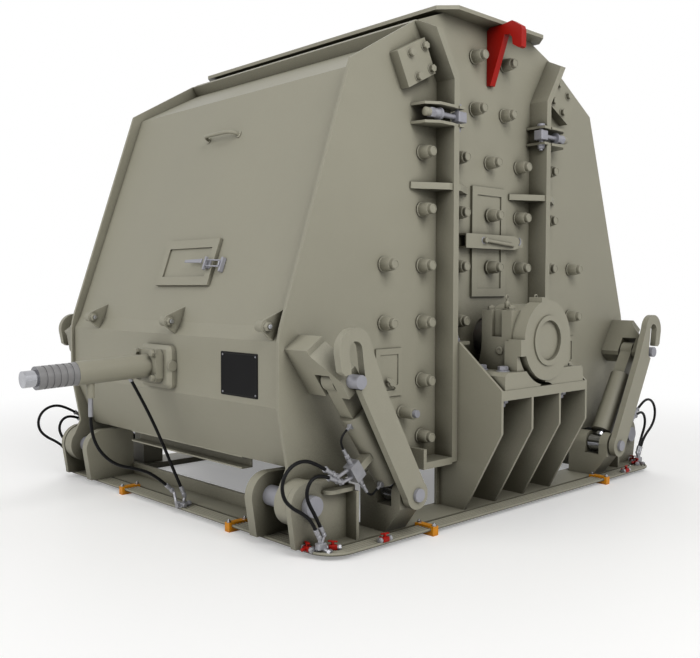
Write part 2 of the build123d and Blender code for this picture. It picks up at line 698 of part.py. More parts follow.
# Cover of the upper apron shaft, hatch on the side plate, lugs on the panel, lower gusset
COVER_L = 240.0
COVER_H = 200.0
COVER_T = 60.0
COVER_TURN = 27.4
HATCH_X = (759.0, 962.0)
HATCH_Z = (704.0, 963.0)
HATCH_T = 12.0
HATCH_RIM = 32.0
LUG_TIP = (-1632.0, 1103.0)
LUG_TIP_R = 32.0
LUG_PLATE = 18.0
LUGS_Y = (756.0, -140.0, -1020.0)
lug_points = [
    (-1520, 1185),
    (LUG_TIP[0] - 10, LUG_TIP[1] + LUG_TIP_R),
    (LUG_TIP[0] - 10, LUG_TIP[1] - LUG_TIP_R),
    (-1586, 1030),
    (-1545, 1095),
]
GUSSET_LOW_X = 700.0
GUSSET_LOW_Z = 300.0
GUSSET_LOW_T = 38.0
POST_T = 24.0
POST_H = 111.0
with BuildPart() as hood_shell:
    with BuildSketch(Plane.XZ.offset(WALL_OUT - WALL_T)):
        with BuildLine():
            Polyline(*hood_side, close=True)
        make_face()
        with Locations(hinge):
            Circle(LUG_R - 4)
    extrude(amount=WALL_T)
    with BuildSketch(Plane.XZ.offset(WALL_OUT)):
        with Locations(hinge):
            Circle(LUG_R - 4)
    extrude(amount=HOOD_LUG_Y - WALL_OUT)
    with BuildSketch(Plane.XZ.offset(WALL_OUT - 80)):
        with Locations(hinge):
            Circle(HINGE_PIN_R + PIN_FIT)
    extrude(amount=10 * WALL_T, mode=Mode.SUBTRACT)
    add(plate_xz(hood_flange, WALL_OUT + FLANGE_OUT, FLANGE_OUT + WALL_T))
    add(fork_notch(), mode=Mode.SUBTRACT)
    with BuildSketch(Plane.YZ):
        with BuildLine():
            Polyline(*slant_points, close=True)
        make_face()
    extrude(amount=-SPLIT_TOP_X - 4 * FLANGE_T, mode=Mode.SUBTRACT)
    for z in FORK_Z:
        with BuildSketch(Plane.XY.offset(z)):
            with BuildLine():
                Polyline(
                    (-SPLIT_X - GAP - FLANGE_T, -WALL_OUT),
                    (-SPLIT_X - GAP - FLANGE_T, -FORK_OUT),
                    (-FORK_X + 90, -FORK_OUT),
                    (-FORK_X + 18, -FORK_OUT + 48),
                    (-FORK_X, -WALL_OUT),
                    close=True,
                )
            make_face()
        extrude(amount=FORK_T)
    with BuildSketch(Plane.XY.offset(RIB_Z)):
        with BuildLine():
            Polyline(
                (-SPLIT_X - GAP - FLANGE_T, -WALL_OUT),
                (-SPLIT_X - GAP - FLANGE_T, -RIB_OUT),
                (-flange_in - 2 * FLANGE_T - RIB_FLAT, -RIB_OUT),
                (-flange_in - 2 * FLANGE_T - RIB_LEN, -WALL_OUT - RIB_END),
                (-flange_in - 2 * FLANGE_T - RIB_LEN, -WALL_OUT),
                close=True,
            )
        make_face()
    extrude(amount=RIB_T)
    low_len = GUSSET_LOW_X - SPLIT_X - GAP - FLANGE_T
    low_mid = (GUSSET_LOW_X + SPLIT_X + GAP + FLANGE_T) / 2
    with Locations((-low_mid, -WALL_OUT - FLANGE_OUT / 2, GUSSET_LOW_Z + GUSSET_LOW_T / 2)):
        Box(low_len, FLANGE_OUT, GUSSET_LOW_T)
    with Locations((-GUSSET_LOW_X, -WALL_OUT - FLANGE_OUT / 2, GUSSET_LOW_Z + POST_H / 2)):
        Box(POST_T, FLANGE_OUT, POST_H)
    with BuildSketch(Plane.XZ.offset(WALL_OUT)):
        with Locations((-TOP_APRON_X - 5, TOP_APRON_Z)):
            Rectangle(COVER_L, COVER_H, rotation=COVER_TURN)
    extrude(amount=COVER_T)
    with BuildSketch(Plane.XZ.offset(WALL_OUT)):
        with Locations((-sum(HATCH_X) / 2, sum(HATCH_Z) / 2)):
            Rectangle(HATCH_X[1] - HATCH_X[0], HATCH_Z[1] - HATCH_Z[0])
    extrude(amount=HATCH_T)
    with BuildSketch(Plane.XZ.offset(WALL_OUT + HATCH_T / 2)):
        with BuildLine():
            Polyline(
                (-HATCH_X[1] + HATCH_RIM, HATCH_Z[1] - HATCH_RIM),
                (-HATCH_X[0] - HATCH_RIM, HATCH_Z[1] - HATCH_RIM),
                (-HATCH_X[0] - HATCH_RIM, HATCH_Z[0] + 2 * HATCH_RIM),
                (-HATCH_X[0] - 2 * HATCH_RIM, HATCH_Z[0] + HATCH_RIM),
                (-HATCH_X[1] + HATCH_RIM, HATCH_Z[0] + HATCH_RIM),
                close=True,
            )
        make_face()
    extrude(amount=HATCH_T, mode=Mode.SUBTRACT)
    mirror(about=Plane.XZ)
    with BuildSketch(Plane.XZ):
        with BuildLine():
            Polyline(*panel_line)
        trace(line_width=PANEL_T)
        with BuildLine():
            Polyline(*hood_roof_flange, close=True)
        make_face()
    extrude(amount=WALL_OUT - WALL_T, both=True)
    with BuildSketch(Plane.XZ):
        with Locations((-CHUTE_X + BEAM_W / 2 - PANEL_T / 2, CHUTE_Z - BEAM_W / 2)):
            Rectangle(BEAM_W, BEAM_W)
        with Locations((-CHUTE_X + BEAM_W / 2 - PANEL_T / 2 - BEAM_T, CHUTE_Z - BEAM_W / 2)):
            Rectangle(BEAM_W, BEAM_W - 2 * BEAM_T, mode=Mode.SUBTRACT)
    extrude(amount=BEAM_Y, both=True)
    for y in LUGS_Y:
        with BuildSketch(Plane.XZ.offset(-y - LUG_PLATE / 2)):
            with Locations(LUG_TIP):
                Circle(LUG_TIP_R)
            with BuildLine():
                Polyline(*lug_points, close=True)
            make_face()
        extrude(amount=LUG_PLATE)
    with BuildSketch(adj_plane.offset(-60)):
        Circle(ADJ_ROD_R + 8)
    extrude(amount=90, mode=Mode.SUBTRACT)
for side in SIDES:
    copies(hood_shell.part, f"hood_shell_{side}", side, "near")

# Hood brackets with the cylinder slot and the hood pin, left hood, near and far
pin = (-HOOD_PIN_X, HOOD_PIN_Z)
cyl_dir = (HOOD_PIN_X - BASE_PIN_X, BASE_PIN_Z - HOOD_PIN_Z)
pin_gap = math.hypot(*cyl_dir)
cyl_dir = (cyl_dir[0] / pin_gap, cyl_dir[1] / pin_gap)
cyl_side = (-cyl_dir[1], cyl_dir[0])


def on_axis(distance, offset=0.0):
    """Point along the closed lift cylinder from the hood pin, and beside it."""
    return (
        pin[0] + cyl_dir[0] * distance + cyl_side[0] * offset,
        pin[1] + cyl_dir[1] * distance + cyl_side[1] * offset,
    )


BRACKET_UP = 215.0         # bracket length above the pin
BRACKET_DOWN = 62.0
with BuildPart() as hood_bracket:
    half = BRACKET_W / 2
    with BuildSketch(Plane.XZ.offset(WALL_OUT)):
        with BuildLine():
            Polyline(
                on_axis(-BRACKET_UP, -half),
                on_axis(-BRACKET_UP, half),
                on_axis(BRACKET_DOWN - 20, half),
                on_axis(BRACKET_DOWN, half - 20),
                on_axis(BRACKET_DOWN, -half),
                close=True,
            )
        make_face()
    extrude(amount=BRACKET_END_Y - WALL_OUT)
    bracket_plane = Plane(
        origin=(on_axis(-BRACKET_UP)[0], 0, on_axis(-BRACKET_UP)[1]),
        x_dir=(cyl_dir[0], 0, cyl_dir[1]),
        z_dir=(-cyl_side[0], 0, -cyl_side[1]),
    )
    with BuildSketch(bracket_plane):
        with BuildLine():
            Polyline(
                (-10, BRACKET_TOP_Y),
                (30, BRACKET_TOP_Y),
                (BRACKET_UP - 45, BRACKET_END_Y),
                (BRACKET_UP - 45, BRACKET_END_Y + 30),
                (-10, BRACKET_END_Y + 30),
                close=True,
            )
        make_face()
        with Locations((BRACKET_UP + 50, CYL_Y)):
            Rectangle(240, SLOT_W)
    extrude(amount=BRACKET_W, both=True, mode=Mode.SUBTRACT)
    with BuildSketch(Plane.XZ.offset(WALL_OUT + 40)):
        with Locations(pin):
            Circle(PIN_R)
    extrude(amount=PIN_END_Y - WALL_OUT - 40)
for side in SIDES:
    for end in ENDS:
        copies(hood_bracket.part, f"hood_bracket_{end}_{side}", side, end)

# Valve block beside the barrel and the two hoses that lead from it to the pipes at the corner
VALVE_Y = HOSE_Y
VALVE_T = 56.0
VALVE_FROM = 392.0         # along the cylinder, from the hood pin
VALVE_TO = 487.0
VALVE_IN = 135.0           # beside the cylinder axis
VALVE_OUT = 200.0
VALVE_MID = (VALVE_IN + VALVE_OUT) / 2
NECK_LEN = 34.0
NECK_R = 13.0
FERRULE_R = 12.0
ELBOW_R = 9.0
FERRULE_LEN = 95.0
outer_route = [
    (-1495, -HOSE_Y, 428),
    (-1571, -HOSE_Y, 474),
    (-1650, -HOSE_Y, 490),
    (-1722, -HOSE_Y, 462),
    (-1760, -HOSE_Y, 400),
    (-1750, -HOSE_Y, 328),
    (-1700, -HOSE_Y, 277),
    (-1635, -HOSE_Y, 240),
    (-1580, -HOSE_Y, 195),
    (-1548, -HOSE_Y, 135),
]
inner_route = [
    (-1471, -HOSE_Y, 384),
    (-1525, -HOSE_Y, 406),
    (-1583, -HOSE_Y, 392),
    (-1611, -HOSE_Y, 345),
    (-1605, -HOSE_Y, 290),
    (-1557, -HOSE_Y, 217),
    (-1518, -HOSE_Y, 143),
]


def stick(start, finish, radius):
    """Round bar between two points in the plane of the corner hoses."""
    span = math.dist(start, finish)
    with BuildPart() as bar:
        with BuildSketch(
            Plane(
                origin=(start[0], -HOSE_Y, start[1]),
                x_dir=(0, 1, 0),
                z_dir=(finish[0] - start[0], 0, finish[1] - start[1]),
            )
        ):
            Circle(radius)
        extrude(amount=span)
    return bar.part


def bend_radii(route):
    """Radius of each arc of a hose, from the runs beside it and the turn between them."""
    radii = []
    for before, here, after in zip(route, route[1:], route[2:]):
        run_in = Vector(*here) - Vector(*before)
        run_out = Vector(*after) - Vector(*here)
        turn = math.radians(run_in.get_angle(run_out))
        radii.append(0.45 * min(run_in.length, run_out.length) / math.tan(turn / 2))
    return radii


def hose(route, name, side, end):
    """Hose along a route of straight runs joined by tangent arcs, labelled and written."""
    radii = bend_radii(route)
    print(name, "radii", [round(radius) for radius in radii])
    with BuildPart() as tube:
        with BuildLine():
            FilletPolyline(*route, radius=radii)
        with BuildSketch(Plane(origin=route[0], z_dir=Vector(*route[1]) - Vector(*route[0]))):
            Circle(HOSE_R)
        sweep()
    copies(tube.part, name, side, end)


# Lift cylinder barrel with its eye on the hood pin
axis_plane = Plane(
    origin=(pin[0], -CYL_Y, pin[1]),
    x_dir=(0, 1, 0),
    z_dir=(cyl_dir[0], 0, cyl_dir[1]),
)
with BuildPart() as barrel:
    with BuildSketch(axis_plane.offset(CYL_TOP)):
        Circle(CYL_R)
    extrude(amount=CYL_LOW - CYL_TOP)
    with BuildSketch(axis_plane.offset(20)):
        Rectangle(EYE_W, 1.6 * EYE_R)
    extrude(amount=CYL_TOP - 20)
    with BuildSketch(Plane.XZ.offset(CYL_Y - EYE_W / 2)):
        with Locations(pin):
            Circle(EYE_R)
    extrude(amount=EYE_W)
    with BuildSketch(Plane.XZ.offset(CYL_Y - EYE_W)):
        with Locations(pin):
            Circle(PIN_R + PIN_FIT)
    extrude(amount=2 * EYE_W, mode=Mode.SUBTRACT)
    with BuildSketch(axis_plane.offset(CYL_LOW - ROD_IN - 10)):
        Circle(ROD_R + ROD_FIT)
    extrude(amount=ROD_IN + 20, mode=Mode.SUBTRACT)
    with BuildSketch(Plane.XZ.offset(VALVE_Y - VALVE_T / 2)):
        with BuildLine():
            Polyline(
                on_axis(VALVE_FROM, -VALVE_IN),
                on_axis(VALVE_TO, -VALVE_IN),
                on_axis(VALVE_TO, -VALVE_OUT),
                on_axis(VALVE_FROM, -VALVE_OUT),
                close=True,
            )
        make_face()
        with BuildLine():
            Polyline(
                on_axis(VALVE_FROM + 28, -CYL_R + 12),
                on_axis(VALVE_TO - 28, -CYL_R + 12),
                on_axis(VALVE_TO - 28, -VALVE_IN - 1),
                on_axis(VALVE_FROM + 28, -VALVE_IN - 1),
                close=True,
            )
        make_face()
    extrude(amount=VALVE_T)
    add(stick(on_axis(VALVE_FROM - NECK_LEN, -VALVE_MID), on_axis(VALVE_TO + NECK_LEN, -VALVE_MID), NECK_R))
    for route, port in (
        (outer_route, on_axis(VALVE_FROM + 15, -VALVE_OUT + 10)),
        (inner_route, on_axis(VALVE_TO - 30, -VALVE_OUT + 10)),
    ):
        ferrule = (route[0][0], route[0][2])
        elbow = along(route[0], route[1], -FERRULE_LEN)[::2]
        add(stick(ferrule, elbow, FERRULE_R))
        add(stick(elbow, port, ELBOW_R))
        with Locations((elbow[0], -VALVE_Y, elbow[1])):
            Sphere(FERRULE_R)
for side in SIDES:
    for end in ENDS:
        copies(barrel.part, f"lift_barrel_{end}_{side}", side, end)
        hose(outer_route, f"hose_outer_{end}_{side}", side, end)
        hose(inner_route, f"hose_inner_{end}_{side}", side, end)

# Lift cylinder rod with its eye around the base pin
with BuildPart() as rod:
    with BuildSketch(axis_plane.offset(CYL_LOW - ROD_IN)):
        Circle(ROD_R)
    extrude(amount=pin_gap - CYL_LOW + ROD_IN)
    with BuildSketch(Plane.XZ.offset(CYL_Y - EYE_W / 2)):
        with Locations(base_pin):
            Circle(EYE_R)
    extrude(amount=EYE_W)
    with BuildSketch(Plane.XZ.offset(CYL_Y - EYE_W)):
        with Locations(base_pin):
            Circle(PIN_R + OPEN_FIT)
    extrude(amount=2 * EYE_W, mode=Mode.SUBTRACT)
for side in SIDES:
    for end in ENDS:
        copies(rod.part, f"lift_rod_{end}_{side}", side, end)

# Hook arm: shank on the base pin and a hook whose mouth takes the hood pin when the hood is open
seat = (-SEAT_X, SEAT_TOP_Z)
arm_len = math.dist(base_pin, seat)
arm_e = ((seat[0] - base_pin[0]) / arm_len, (seat[1] - base_pin[1]) / arm_len)
arm_n = (-arm_e[1], arm_e[0])


def in_arm(e, n):
    """Point given along the arm from the base pin and outward from its axis."""
    return (
        base_pin[0] + arm_e[0] * e + arm_n[0] * n,
        base_pin[1] + arm_e[1] * e + arm_n[1] * n,
    )


rest_e = (pin[0] - base_pin[0]) * arm_e[0] + (pin[1] - base_pin[1]) * arm_e[1]
rest_n = (pin[0] - base_pin[0]) * arm_n[0] + (pin[1] - base_pin[1]) * arm_n[1]
path_len = math.hypot(arm_len - rest_e, rest_n)
path_p = ((arm_len - rest_e) / path_len, -rest_n / path_len)
path_q = (-path_p[1], path_p[0])


def in_path(p, q):
    """Point given back along the pin's path from the seat, and beside it."""
    return in_arm(arm_len - path_p[0] * p + path_q[0] * q, -path_p[1] * p + path_q[1] * q)


with BuildPart() as arm:
    with BuildSketch(Plane.XZ.offset(ARM_Y - ARM_T)):
        with Locations(base_pin):
            Circle(ARM_HALF + 8)
        with Locations(seat):
            Circle(HOOK_R)
        with BuildLine():
            Polyline(
                in_arm(0, -ARM_HALF - 4),
                in_arm(arm_len - 260, -ARM_HALF - 10),
                in_path(0, -HOOK_R),
                in_path(0, HOOK_R),
                in_path(TIP_LEN - 20, HOOK_R - 4),
                in_path(TIP_LEN, HOOK_R - 26),
                in_path(TIP_LEN, 0),
                in_path(path_len + 20, 0),
                in_arm(rest_e - 95, ARM_HALF),
                in_arm(0, ARM_HALF + 4),
                close=True,
            )
        make_face()
        with BuildLine():
            Polyline(
                in_path(0, -SLOT_HALF),
                in_path(path_len + 30, -SLOT_HALF),
                in_path(path_len + 75, SLOT_HALF + 30),
                in_path(path_len + 30, HOOK_R + 40),
                in_path(TIP_LEN, HOOK_R + 40),
                in_path(TIP_LEN, SLOT_HALF),
                in_path(0, SLOT_HALF),
                close=True,
            )
        make_face(mode=Mode.SUBTRACT)
        with Locations(seat):
            Circle(SLOT_HALF, mode=Mode.SUBTRACT)
        with Locations(base_pin):
            Circle(PIN_R + PIN_FIT, mode=Mode.SUBTRACT)
    extrude(amount=ARM_T)
for side in SIDES:
    for end in ENDS:
        copies(arm.part, f"hook_arm_{end}_{side}", side, end)

# Upper apron of the left hood, hung inside from its shaft
APRON_Y = WALL_OUT - WALL_T - 12
top_shaft = (-TOP_APRON_X, TOP_APRON_Z)
with BuildPart() as upper_apron:
    with BuildSketch(Plane.XZ):
        with BuildLine():
            Polyline(top_shaft, *UPPER_APRON)
        trace(line_width=APRON_T)
        with Locations(top_shaft):
            Circle(APRON_PIN_R + 20)
    extrude(amount=APRON_Y, both=True)
    with BuildSketch(Plane.XZ):
        with Locations(top_shaft):
            Circle(APRON_PIN_R)
    extrude(amount=WALL_OUT - WALL_T, both=True)
for side in SIDES:
    copies(upper_apron.part, f"upper_apron_{side}", side, "near")

# Lower apron of the left hood, swinging on its shaft
low_shaft = (-APRON_PIN_X, APRON_PIN_Z)
with BuildPart() as lower_apron:
    with BuildSketch(Plane.XZ):
        with BuildLine():
            Polyline(low_shaft, *LOWER_APRON)
        trace(line_width=APRON_T)
        with Locations(low_shaft):
            Circle(APRON_PIN_R + 20)
    extrude(amount=APRON_Y, both=True)
    with BuildSketch(Plane.XZ):
        with Locations(low_shaft):
            Circle(APRON_PIN_R)
    extrude(amount=WALL_OUT - WALL_T - GAP, both=True)
for side in SIDES:
    copies(lower_apron.part, f"lower_apron_{side}", side, "near")

# Adjusting cylinder body on the vertical panel, with its bracket
feed_route = [
    (-2031, 0, 592),
    (-2031, 0, 509),
    (-1986, -5, 395),
    (-1892, -12, 309),
    (-1775, -22, 276),
    (-1666, -32, 228),
    (-1580, -38, 146),
]
return_route = [
    (-1784, 0, 768),
    (-1713, 0, 644),
    (-1643, -8, 500),
    (-1589, -25, 363),
    (-1545, -48, 233),
    (-1507, -70, 124),
]
with BuildPart() as adjuster_body:
    with BuildSketch(Plane.YZ.offset(adj_start[0])):
        with Locations((0, (ADJ_BOX_LOW_Z + ADJ_BOX_TOP_Z) / 2)):
            RectangleRounded(2 * ADJ_BOX_Y, ADJ_BOX_TOP_Z - ADJ_BOX_LOW_Z, 30)
    extrude(amount=-ADJ_BOX_X)
    chamfer(faces().sort_by(Axis.X)[0].edges().filter_by(Axis.Z), 22)
    with BuildSketch(Plane.YZ.offset(adj_start[0] - ADJ_BOX_X)):
        with Locations((0, ADJ_Z - 3)):
            Rectangle(2 * ADJ_FLANGE_Y, 2 * ADJ_FLANGE_Z)
            chamfer(vertices(), 24)
    extrude(amount=-ADJ_FLANGE_T)
    with BuildSketch(adj_plane.offset(20)):
        Circle(ADJ_R)
    extrude(amount=ADJ_BODY_LEN - 20)
    with BuildSketch(adj_plane.offset(ADJ_BODY_LEN)):
        Circle(ADJ_RIB_R)
    extrude(amount=ADJ_RIB_LEN)
    rib_pitch = ADJ_RIB_LEN / ADJ_RIB_COUNT
    for index in range(1, ADJ_RIB_COUNT):
        with BuildSketch(adj_plane.offset(ADJ_BODY_LEN + index * rib_pitch - rib_pitch / 6)):
            Circle(ADJ_RIB_R + 1)
            Circle(ADJ_RIB_R - ADJ_GROOVE, mode=Mode.SUBTRACT)
        extrude(amount=rib_pitch / 3, mode=Mode.SUBTRACT)
    with BuildSketch(adj_plane.offset(-40)):
        Circle(ADJ_ROD_R + ROD_FIT)
    extrude(amount=ADJ_BODY_LEN + ADJ_RIB_LEN + 80, mode=Mode.SUBTRACT)
    for route, boss_r, boss_len in ((feed_route, 13, 188), (return_route, 12, 26)):
        start = Vector(*route[0])
        back = (start - Vector(*route[1])).normalized()
        with BuildSketch(Plane(origin=start, x_dir=(0, 1, 0), z_dir=back)):
            Circle(boss_r)
        extrude(amount=boss_len)
    with Locations((feed_route[0][0], 0, 741)):
        Cylinder(22, 94)
for side in SIDES:
    copies(adjuster_body.part, f"adjuster_body_{side}", side, "near")
    hose(feed_route, f"hose_feed_{side}", side, "near")
    hose(return_route, f"hose_return_{side}", side, "near")

# Adjusting rod between the lower apron and the outer tip
with BuildPart() as adjuster_rod:
    with BuildSketch(adj_plane.offset(-ROD_PUSH)):
        Circle(ADJ_ROD_R)
    extrude(amount=ROD_PUSH + ADJ_BODY_LEN + ADJ_RIB_LEN + GAP)
    with BuildSketch(adj_plane.offset(ADJ_BODY_LEN + ADJ_RIB_LEN + GAP)):
        Circle(ADJ_TIP_R)
    extrude(amount=ADJ_TIP_LEN)
for side in SIDES:
    copies(adjuster_rod.part, f"adjuster_rod_{side}", side, "near")

# Lids on the inclined panels
LID_Z = (1296.0, 1558.0)
LID_Y = (-330.0, 210.0)
LID_T = 20.0
LID_RIM = 52.0
lid_mid = (LID_Z[0] + LID_Z[1]) / 2
lid_len = (LID_Z[1] - LID_Z[0]) / panel_up[1]
with BuildPart() as panel_hatch:
    with BuildSketch(panel_plane(lid_mid, PANEL_T / 2 + GAP)):
        with Locations((-sum(LID_Y) / 2, 0)):
            Rectangle(LID_Y[1] - LID_Y[0], lid_len)
    extrude(amount=LID_T)
    with BuildSketch(panel_plane(lid_mid, PANEL_T / 2 + GAP + LID_T / 2)):
        with Locations((-sum(LID_Y) / 2, 0)):
            Rectangle(LID_Y[1] - LID_Y[0] - 2 * LID_RIM, lid_len - 2 * LID_RIM)
    extrude(amount=LID_T, mode=Mode.SUBTRACT)
for side in SIDES:
    copies(panel_hatch.part, f"panel_hatch_{side}", side, "near")

# Inspection covers on both side walls, each with its hollow lock bar and post
COVER_X = 164.0
COVER_Z = (1240.0, 1893.0)
COVER_THICK = 16.0
COVER_RIM = 48.0
BAR_X = (-274.0, 195.0)
BAR_Z = (1524.0, 1608.0)
BAR_OUT_Y = 1160.0
BAR_WALL = 10.0
POST_X = (245.0, 281.0)
cover_y = WALL_OUT + GAP
bar_mid_z = (BAR_Z[0] + BAR_Z[1]) / 2
bar_points = [
    (BAR_X[0], BAR_Z[0]),
    (BAR_X[1], BAR_Z[0]),
    (POST_X[0], bar_mid_z - 24),
    (POST_X[0], bar_mid_z + 24),
    (BAR_X[1], BAR_Z[1]),
    (BAR_X[0], BAR_Z[1]),
]
with BuildPart() as inspection:
    with BuildSketch(Plane.XZ.offset(cover_y)):
        with Locations((0, sum(COVER_Z) / 2)):
            Rectangle(2 * COVER_X, COVER_Z[1] - COVER_Z[0])
    extrude(amount=COVER_THICK)
    with BuildSketch(Plane.XZ.offset(cover_y + COVER_THICK / 2)):
        with Locations((0, sum(COVER_Z) / 2)):
            Rectangle(2 * (COVER_X - COVER_RIM), COVER_Z[1] - COVER_Z[0] - 2 * COVER_RIM)
    extrude(amount=COVER_THICK, mode=Mode.SUBTRACT)
    add(plate_xz(bar_points, BAR_OUT_Y, BAR_OUT_Y - cover_y))
    bar_room = BAR_OUT_Y - BAR_WALL - cover_y
    bar_len = BAR_X[1] - BAR_X[0]
    with Locations((BAR_X[0] + bar_len / 2 - 30, -cover_y - bar_room / 2, bar_mid_z)):
        Box(bar_len, bar_room, BAR_Z[1] - BAR_Z[0] - 2 * BAR_WALL, mode=Mode.SUBTRACT)
    with BuildSketch(Plane.XZ.offset(cover_y)):
        with Locations((sum(POST_X) / 2, bar_mid_z)):
            Rectangle(POST_X[1] - POST_X[0], 52)
    extrude(amount=BAR_OUT_Y - cover_y)
with BuildPart() as inspection_covers:
    add(inspection.part)
    add(mirror(inspection.part, about=Plane.XZ, mode=Mode.PRIVATE))
inspection_covers.part.label = "inspection_covers"
export_step(inspection_covers.part, "parts/inspection_covers.step")

# Lifting hooks on both side walls under the feed flange
HOOK_X = -20.0
HOOK_T = 46.0
hook_points = [
    (-WALL_OUT - GAP, HEAD_Z - 21),
    (-1119, HEAD_Z - 5),
    (-FEED_Y - 6, HEAD_Z - 5),
    (-1281, HEAD_Z + 6),
    (-1343, HEAD_Z - 35),
    (-1350, HEAD_Z - 58),
    (-1349, HEAD_Z - 156),
    (-1327, HEAD_Z - 158),
    (-1287, HEAD_Z - 132),
    (-1282, HEAD_Z - 91),
    (-1268, HEAD_Z - 70),
    (-1227, HEAD_Z - 65),
    (-1209, HEAD_Z - 120),
    (-1128, HEAD_Z - 344),
    (-WALL_OUT - GAP, HEAD_Z - 344),
]
with BuildPart() as lifting_hooks:
    with BuildSketch(Plane.YZ.offset(HOOK_X)):
        with BuildLine():
            Polyline(*hook_points, close=True)
        make_face()
    extrude(amount=HOOK_T)
    mirror(about=Plane.XZ)
lifting_hooks.part.label = "lifting_hooks"
export_step(lifting_hooks.part, "parts/lifting_hooks.step")

# Five pipes round the left, near and right sides of the base
with BuildPart() as base_pipes:
    for index in range(PIPE_COUNT):
        step = index * PIPE_PITCH
        pipe_x = PIPE_X + step
        pipe_y = PIPE_Y + step
        with BuildLine():
            FilletPolyline(
                (-pipe_x, PIPE_END_Y, PIPE_Z),
                (-pipe_x, -pipe_y, PIPE_Z),
                (pipe_x, -pipe_y, PIPE_Z),
                (pipe_x, PIPE_END_Y, PIPE_Z),
                radius=PIPE_BEND + step,
            )
        with BuildSketch(Plane(origin=(-pipe_x, PIPE_END_Y, PIPE_Z), z_dir=(0, -1, 0))):
            Circle(PIPE_R)
        sweep()
base_pipes.part.label = "base_pipes"
export_step(base_pipes.part, "parts/base_pipes.step")

# Clamps that hold the pipes against the base flange
pipe_span = (PIPE_COUNT - 1) * PIPE_PITCH
side_edge = PIPE_X + pipe_span + PIPE_R + CLAMP_OUT
front_edge = PIPE_Y + pipe_span + PIPE_R + CLAMP_OUT
with BuildPart() as pipe_clamps:
    for side in (-1, 1):
        for y in CLAMPS_SIDE_Y:
            with Locations((side * (BASE_X + side_edge) / 2, y, CLAMP_H / 2)):
                Box(side_edge - BASE_X, CLAMP_W, CLAMP_H)
            for index in range(PIPE_COUNT):
                with Locations((side * (PIPE_X + index * PIPE_PITCH), y, PIPE_Z)):
                    Cylinder(PIPE_R + CLAMP_FIT, 2 * CLAMP_W, rotation=(90, 0, 0), mode=Mode.SUBTRACT)
    for x in CLAMPS_FRONT_X:
        with Locations((x, -(BASE_Y + front_edge) / 2, CLAMP_H / 2)):
            Box(CLAMP_W, front_edge - BASE_Y, CLAMP_H)
        for index in range(PIPE_COUNT):
            with Locations((x, -PIPE_Y - index * PIPE_PITCH, PIPE_Z)):
                Cylinder(PIPE_R + CLAMP_FIT, 2 * CLAMP_W, rotation=(0, 90, 0), mode=Mode.SUBTRACT)
pipe_clamps.part.label = "pipe_clamps"
export_step(pipe_clamps.part, "parts/pipe_clamps.step")
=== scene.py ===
"""Impact crusher: olive painted steel, machined pins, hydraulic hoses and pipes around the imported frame."""

import math

import bpy
import numpy as np
from mathutils import Matrix, Vector


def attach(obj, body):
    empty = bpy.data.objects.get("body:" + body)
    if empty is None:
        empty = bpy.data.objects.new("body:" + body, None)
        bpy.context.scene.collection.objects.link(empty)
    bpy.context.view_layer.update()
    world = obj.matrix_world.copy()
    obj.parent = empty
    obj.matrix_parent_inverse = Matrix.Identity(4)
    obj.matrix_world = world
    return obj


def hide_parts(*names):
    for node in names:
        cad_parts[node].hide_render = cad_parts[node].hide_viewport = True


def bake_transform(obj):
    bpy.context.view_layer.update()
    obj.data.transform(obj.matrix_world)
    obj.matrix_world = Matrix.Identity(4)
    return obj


bl_info = {
    "name": "Impact Crusher Dressing",
    "version": (1, 0, 0),
    "blender": (4, 5, 0),
    "location": "View3D > Sidebar > Crusher",
    "description": "Finishes, bolts, hoses and stage for the impact crusher frame",
    "category": "Object",
}

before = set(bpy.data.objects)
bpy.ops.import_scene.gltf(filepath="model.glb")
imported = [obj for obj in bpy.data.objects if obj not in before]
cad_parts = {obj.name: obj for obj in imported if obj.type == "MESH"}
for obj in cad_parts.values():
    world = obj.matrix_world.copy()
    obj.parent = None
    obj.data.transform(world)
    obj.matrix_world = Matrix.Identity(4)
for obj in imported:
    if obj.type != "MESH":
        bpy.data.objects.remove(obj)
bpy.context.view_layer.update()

FRAME_BODY = "frame"
# Sign of x and y that turns the near left corner into each of the others
SIDES = {"left": 1, "right": -1}
ENDS = {"near": 1, "far": -1}
WHITE = (1.0, 1.0, 1.0, 1.0)
# Ways that a part can look: out of its face, and the direction that is up on it
UPWARDS = {"out": (0, 0, 1), "up": (0, 1, 0)}
DOWNWARDS = {"out": (0, 0, -1), "up": (0, 1, 0)}
OUTWARDS = {"out": (-1, 0, 0), "up": (0, 0, 1)}


# Node helpers
def linear(colour):
    """sRGB values of 0 to 255 as the linear colour a socket takes."""
    c = np.array(colour, float) / 255
    c = np.where(c <= 0.04045, c / 12.92, ((c + 0.055) / 1.055) ** 2.4)
    return (*c.tolist(), 1.0)


def add_node(tree, kind, **settings):
    """A node of that kind; settings with a capital letter are sockets, the others are properties."""
    made = tree.nodes.new(kind)
    for key, value in settings.items():
        if key[0].isupper():
            made.inputs[key.replace("_", " ")].default_value = value
        else:
            setattr(made, key, value)
    return made


def join(tree, source, output, target, socket):
    """Link from an output of the source to a socket of the target."""
    tree.links.new(source.outputs[output], target.inputs[socket])


def new_group(name, inputs, outputs):
    """Empty shader group with the named inputs (name, kind, default) and outputs (name, kind)."""
    tree = bpy.data.node_groups.new(name, "ShaderNodeTree")
    for label, kind, default in inputs:
        made = tree.interface.new_socket(label, in_out="INPUT", socket_type=kind)
        made.default_value = default
    for label, kind in outputs:
        tree.interface.new_socket(label, in_out="OUTPUT", socket_type=kind)
    return tree, tree.nodes.new("NodeGroupInput"), tree.nodes.new("NodeGroupOutput")


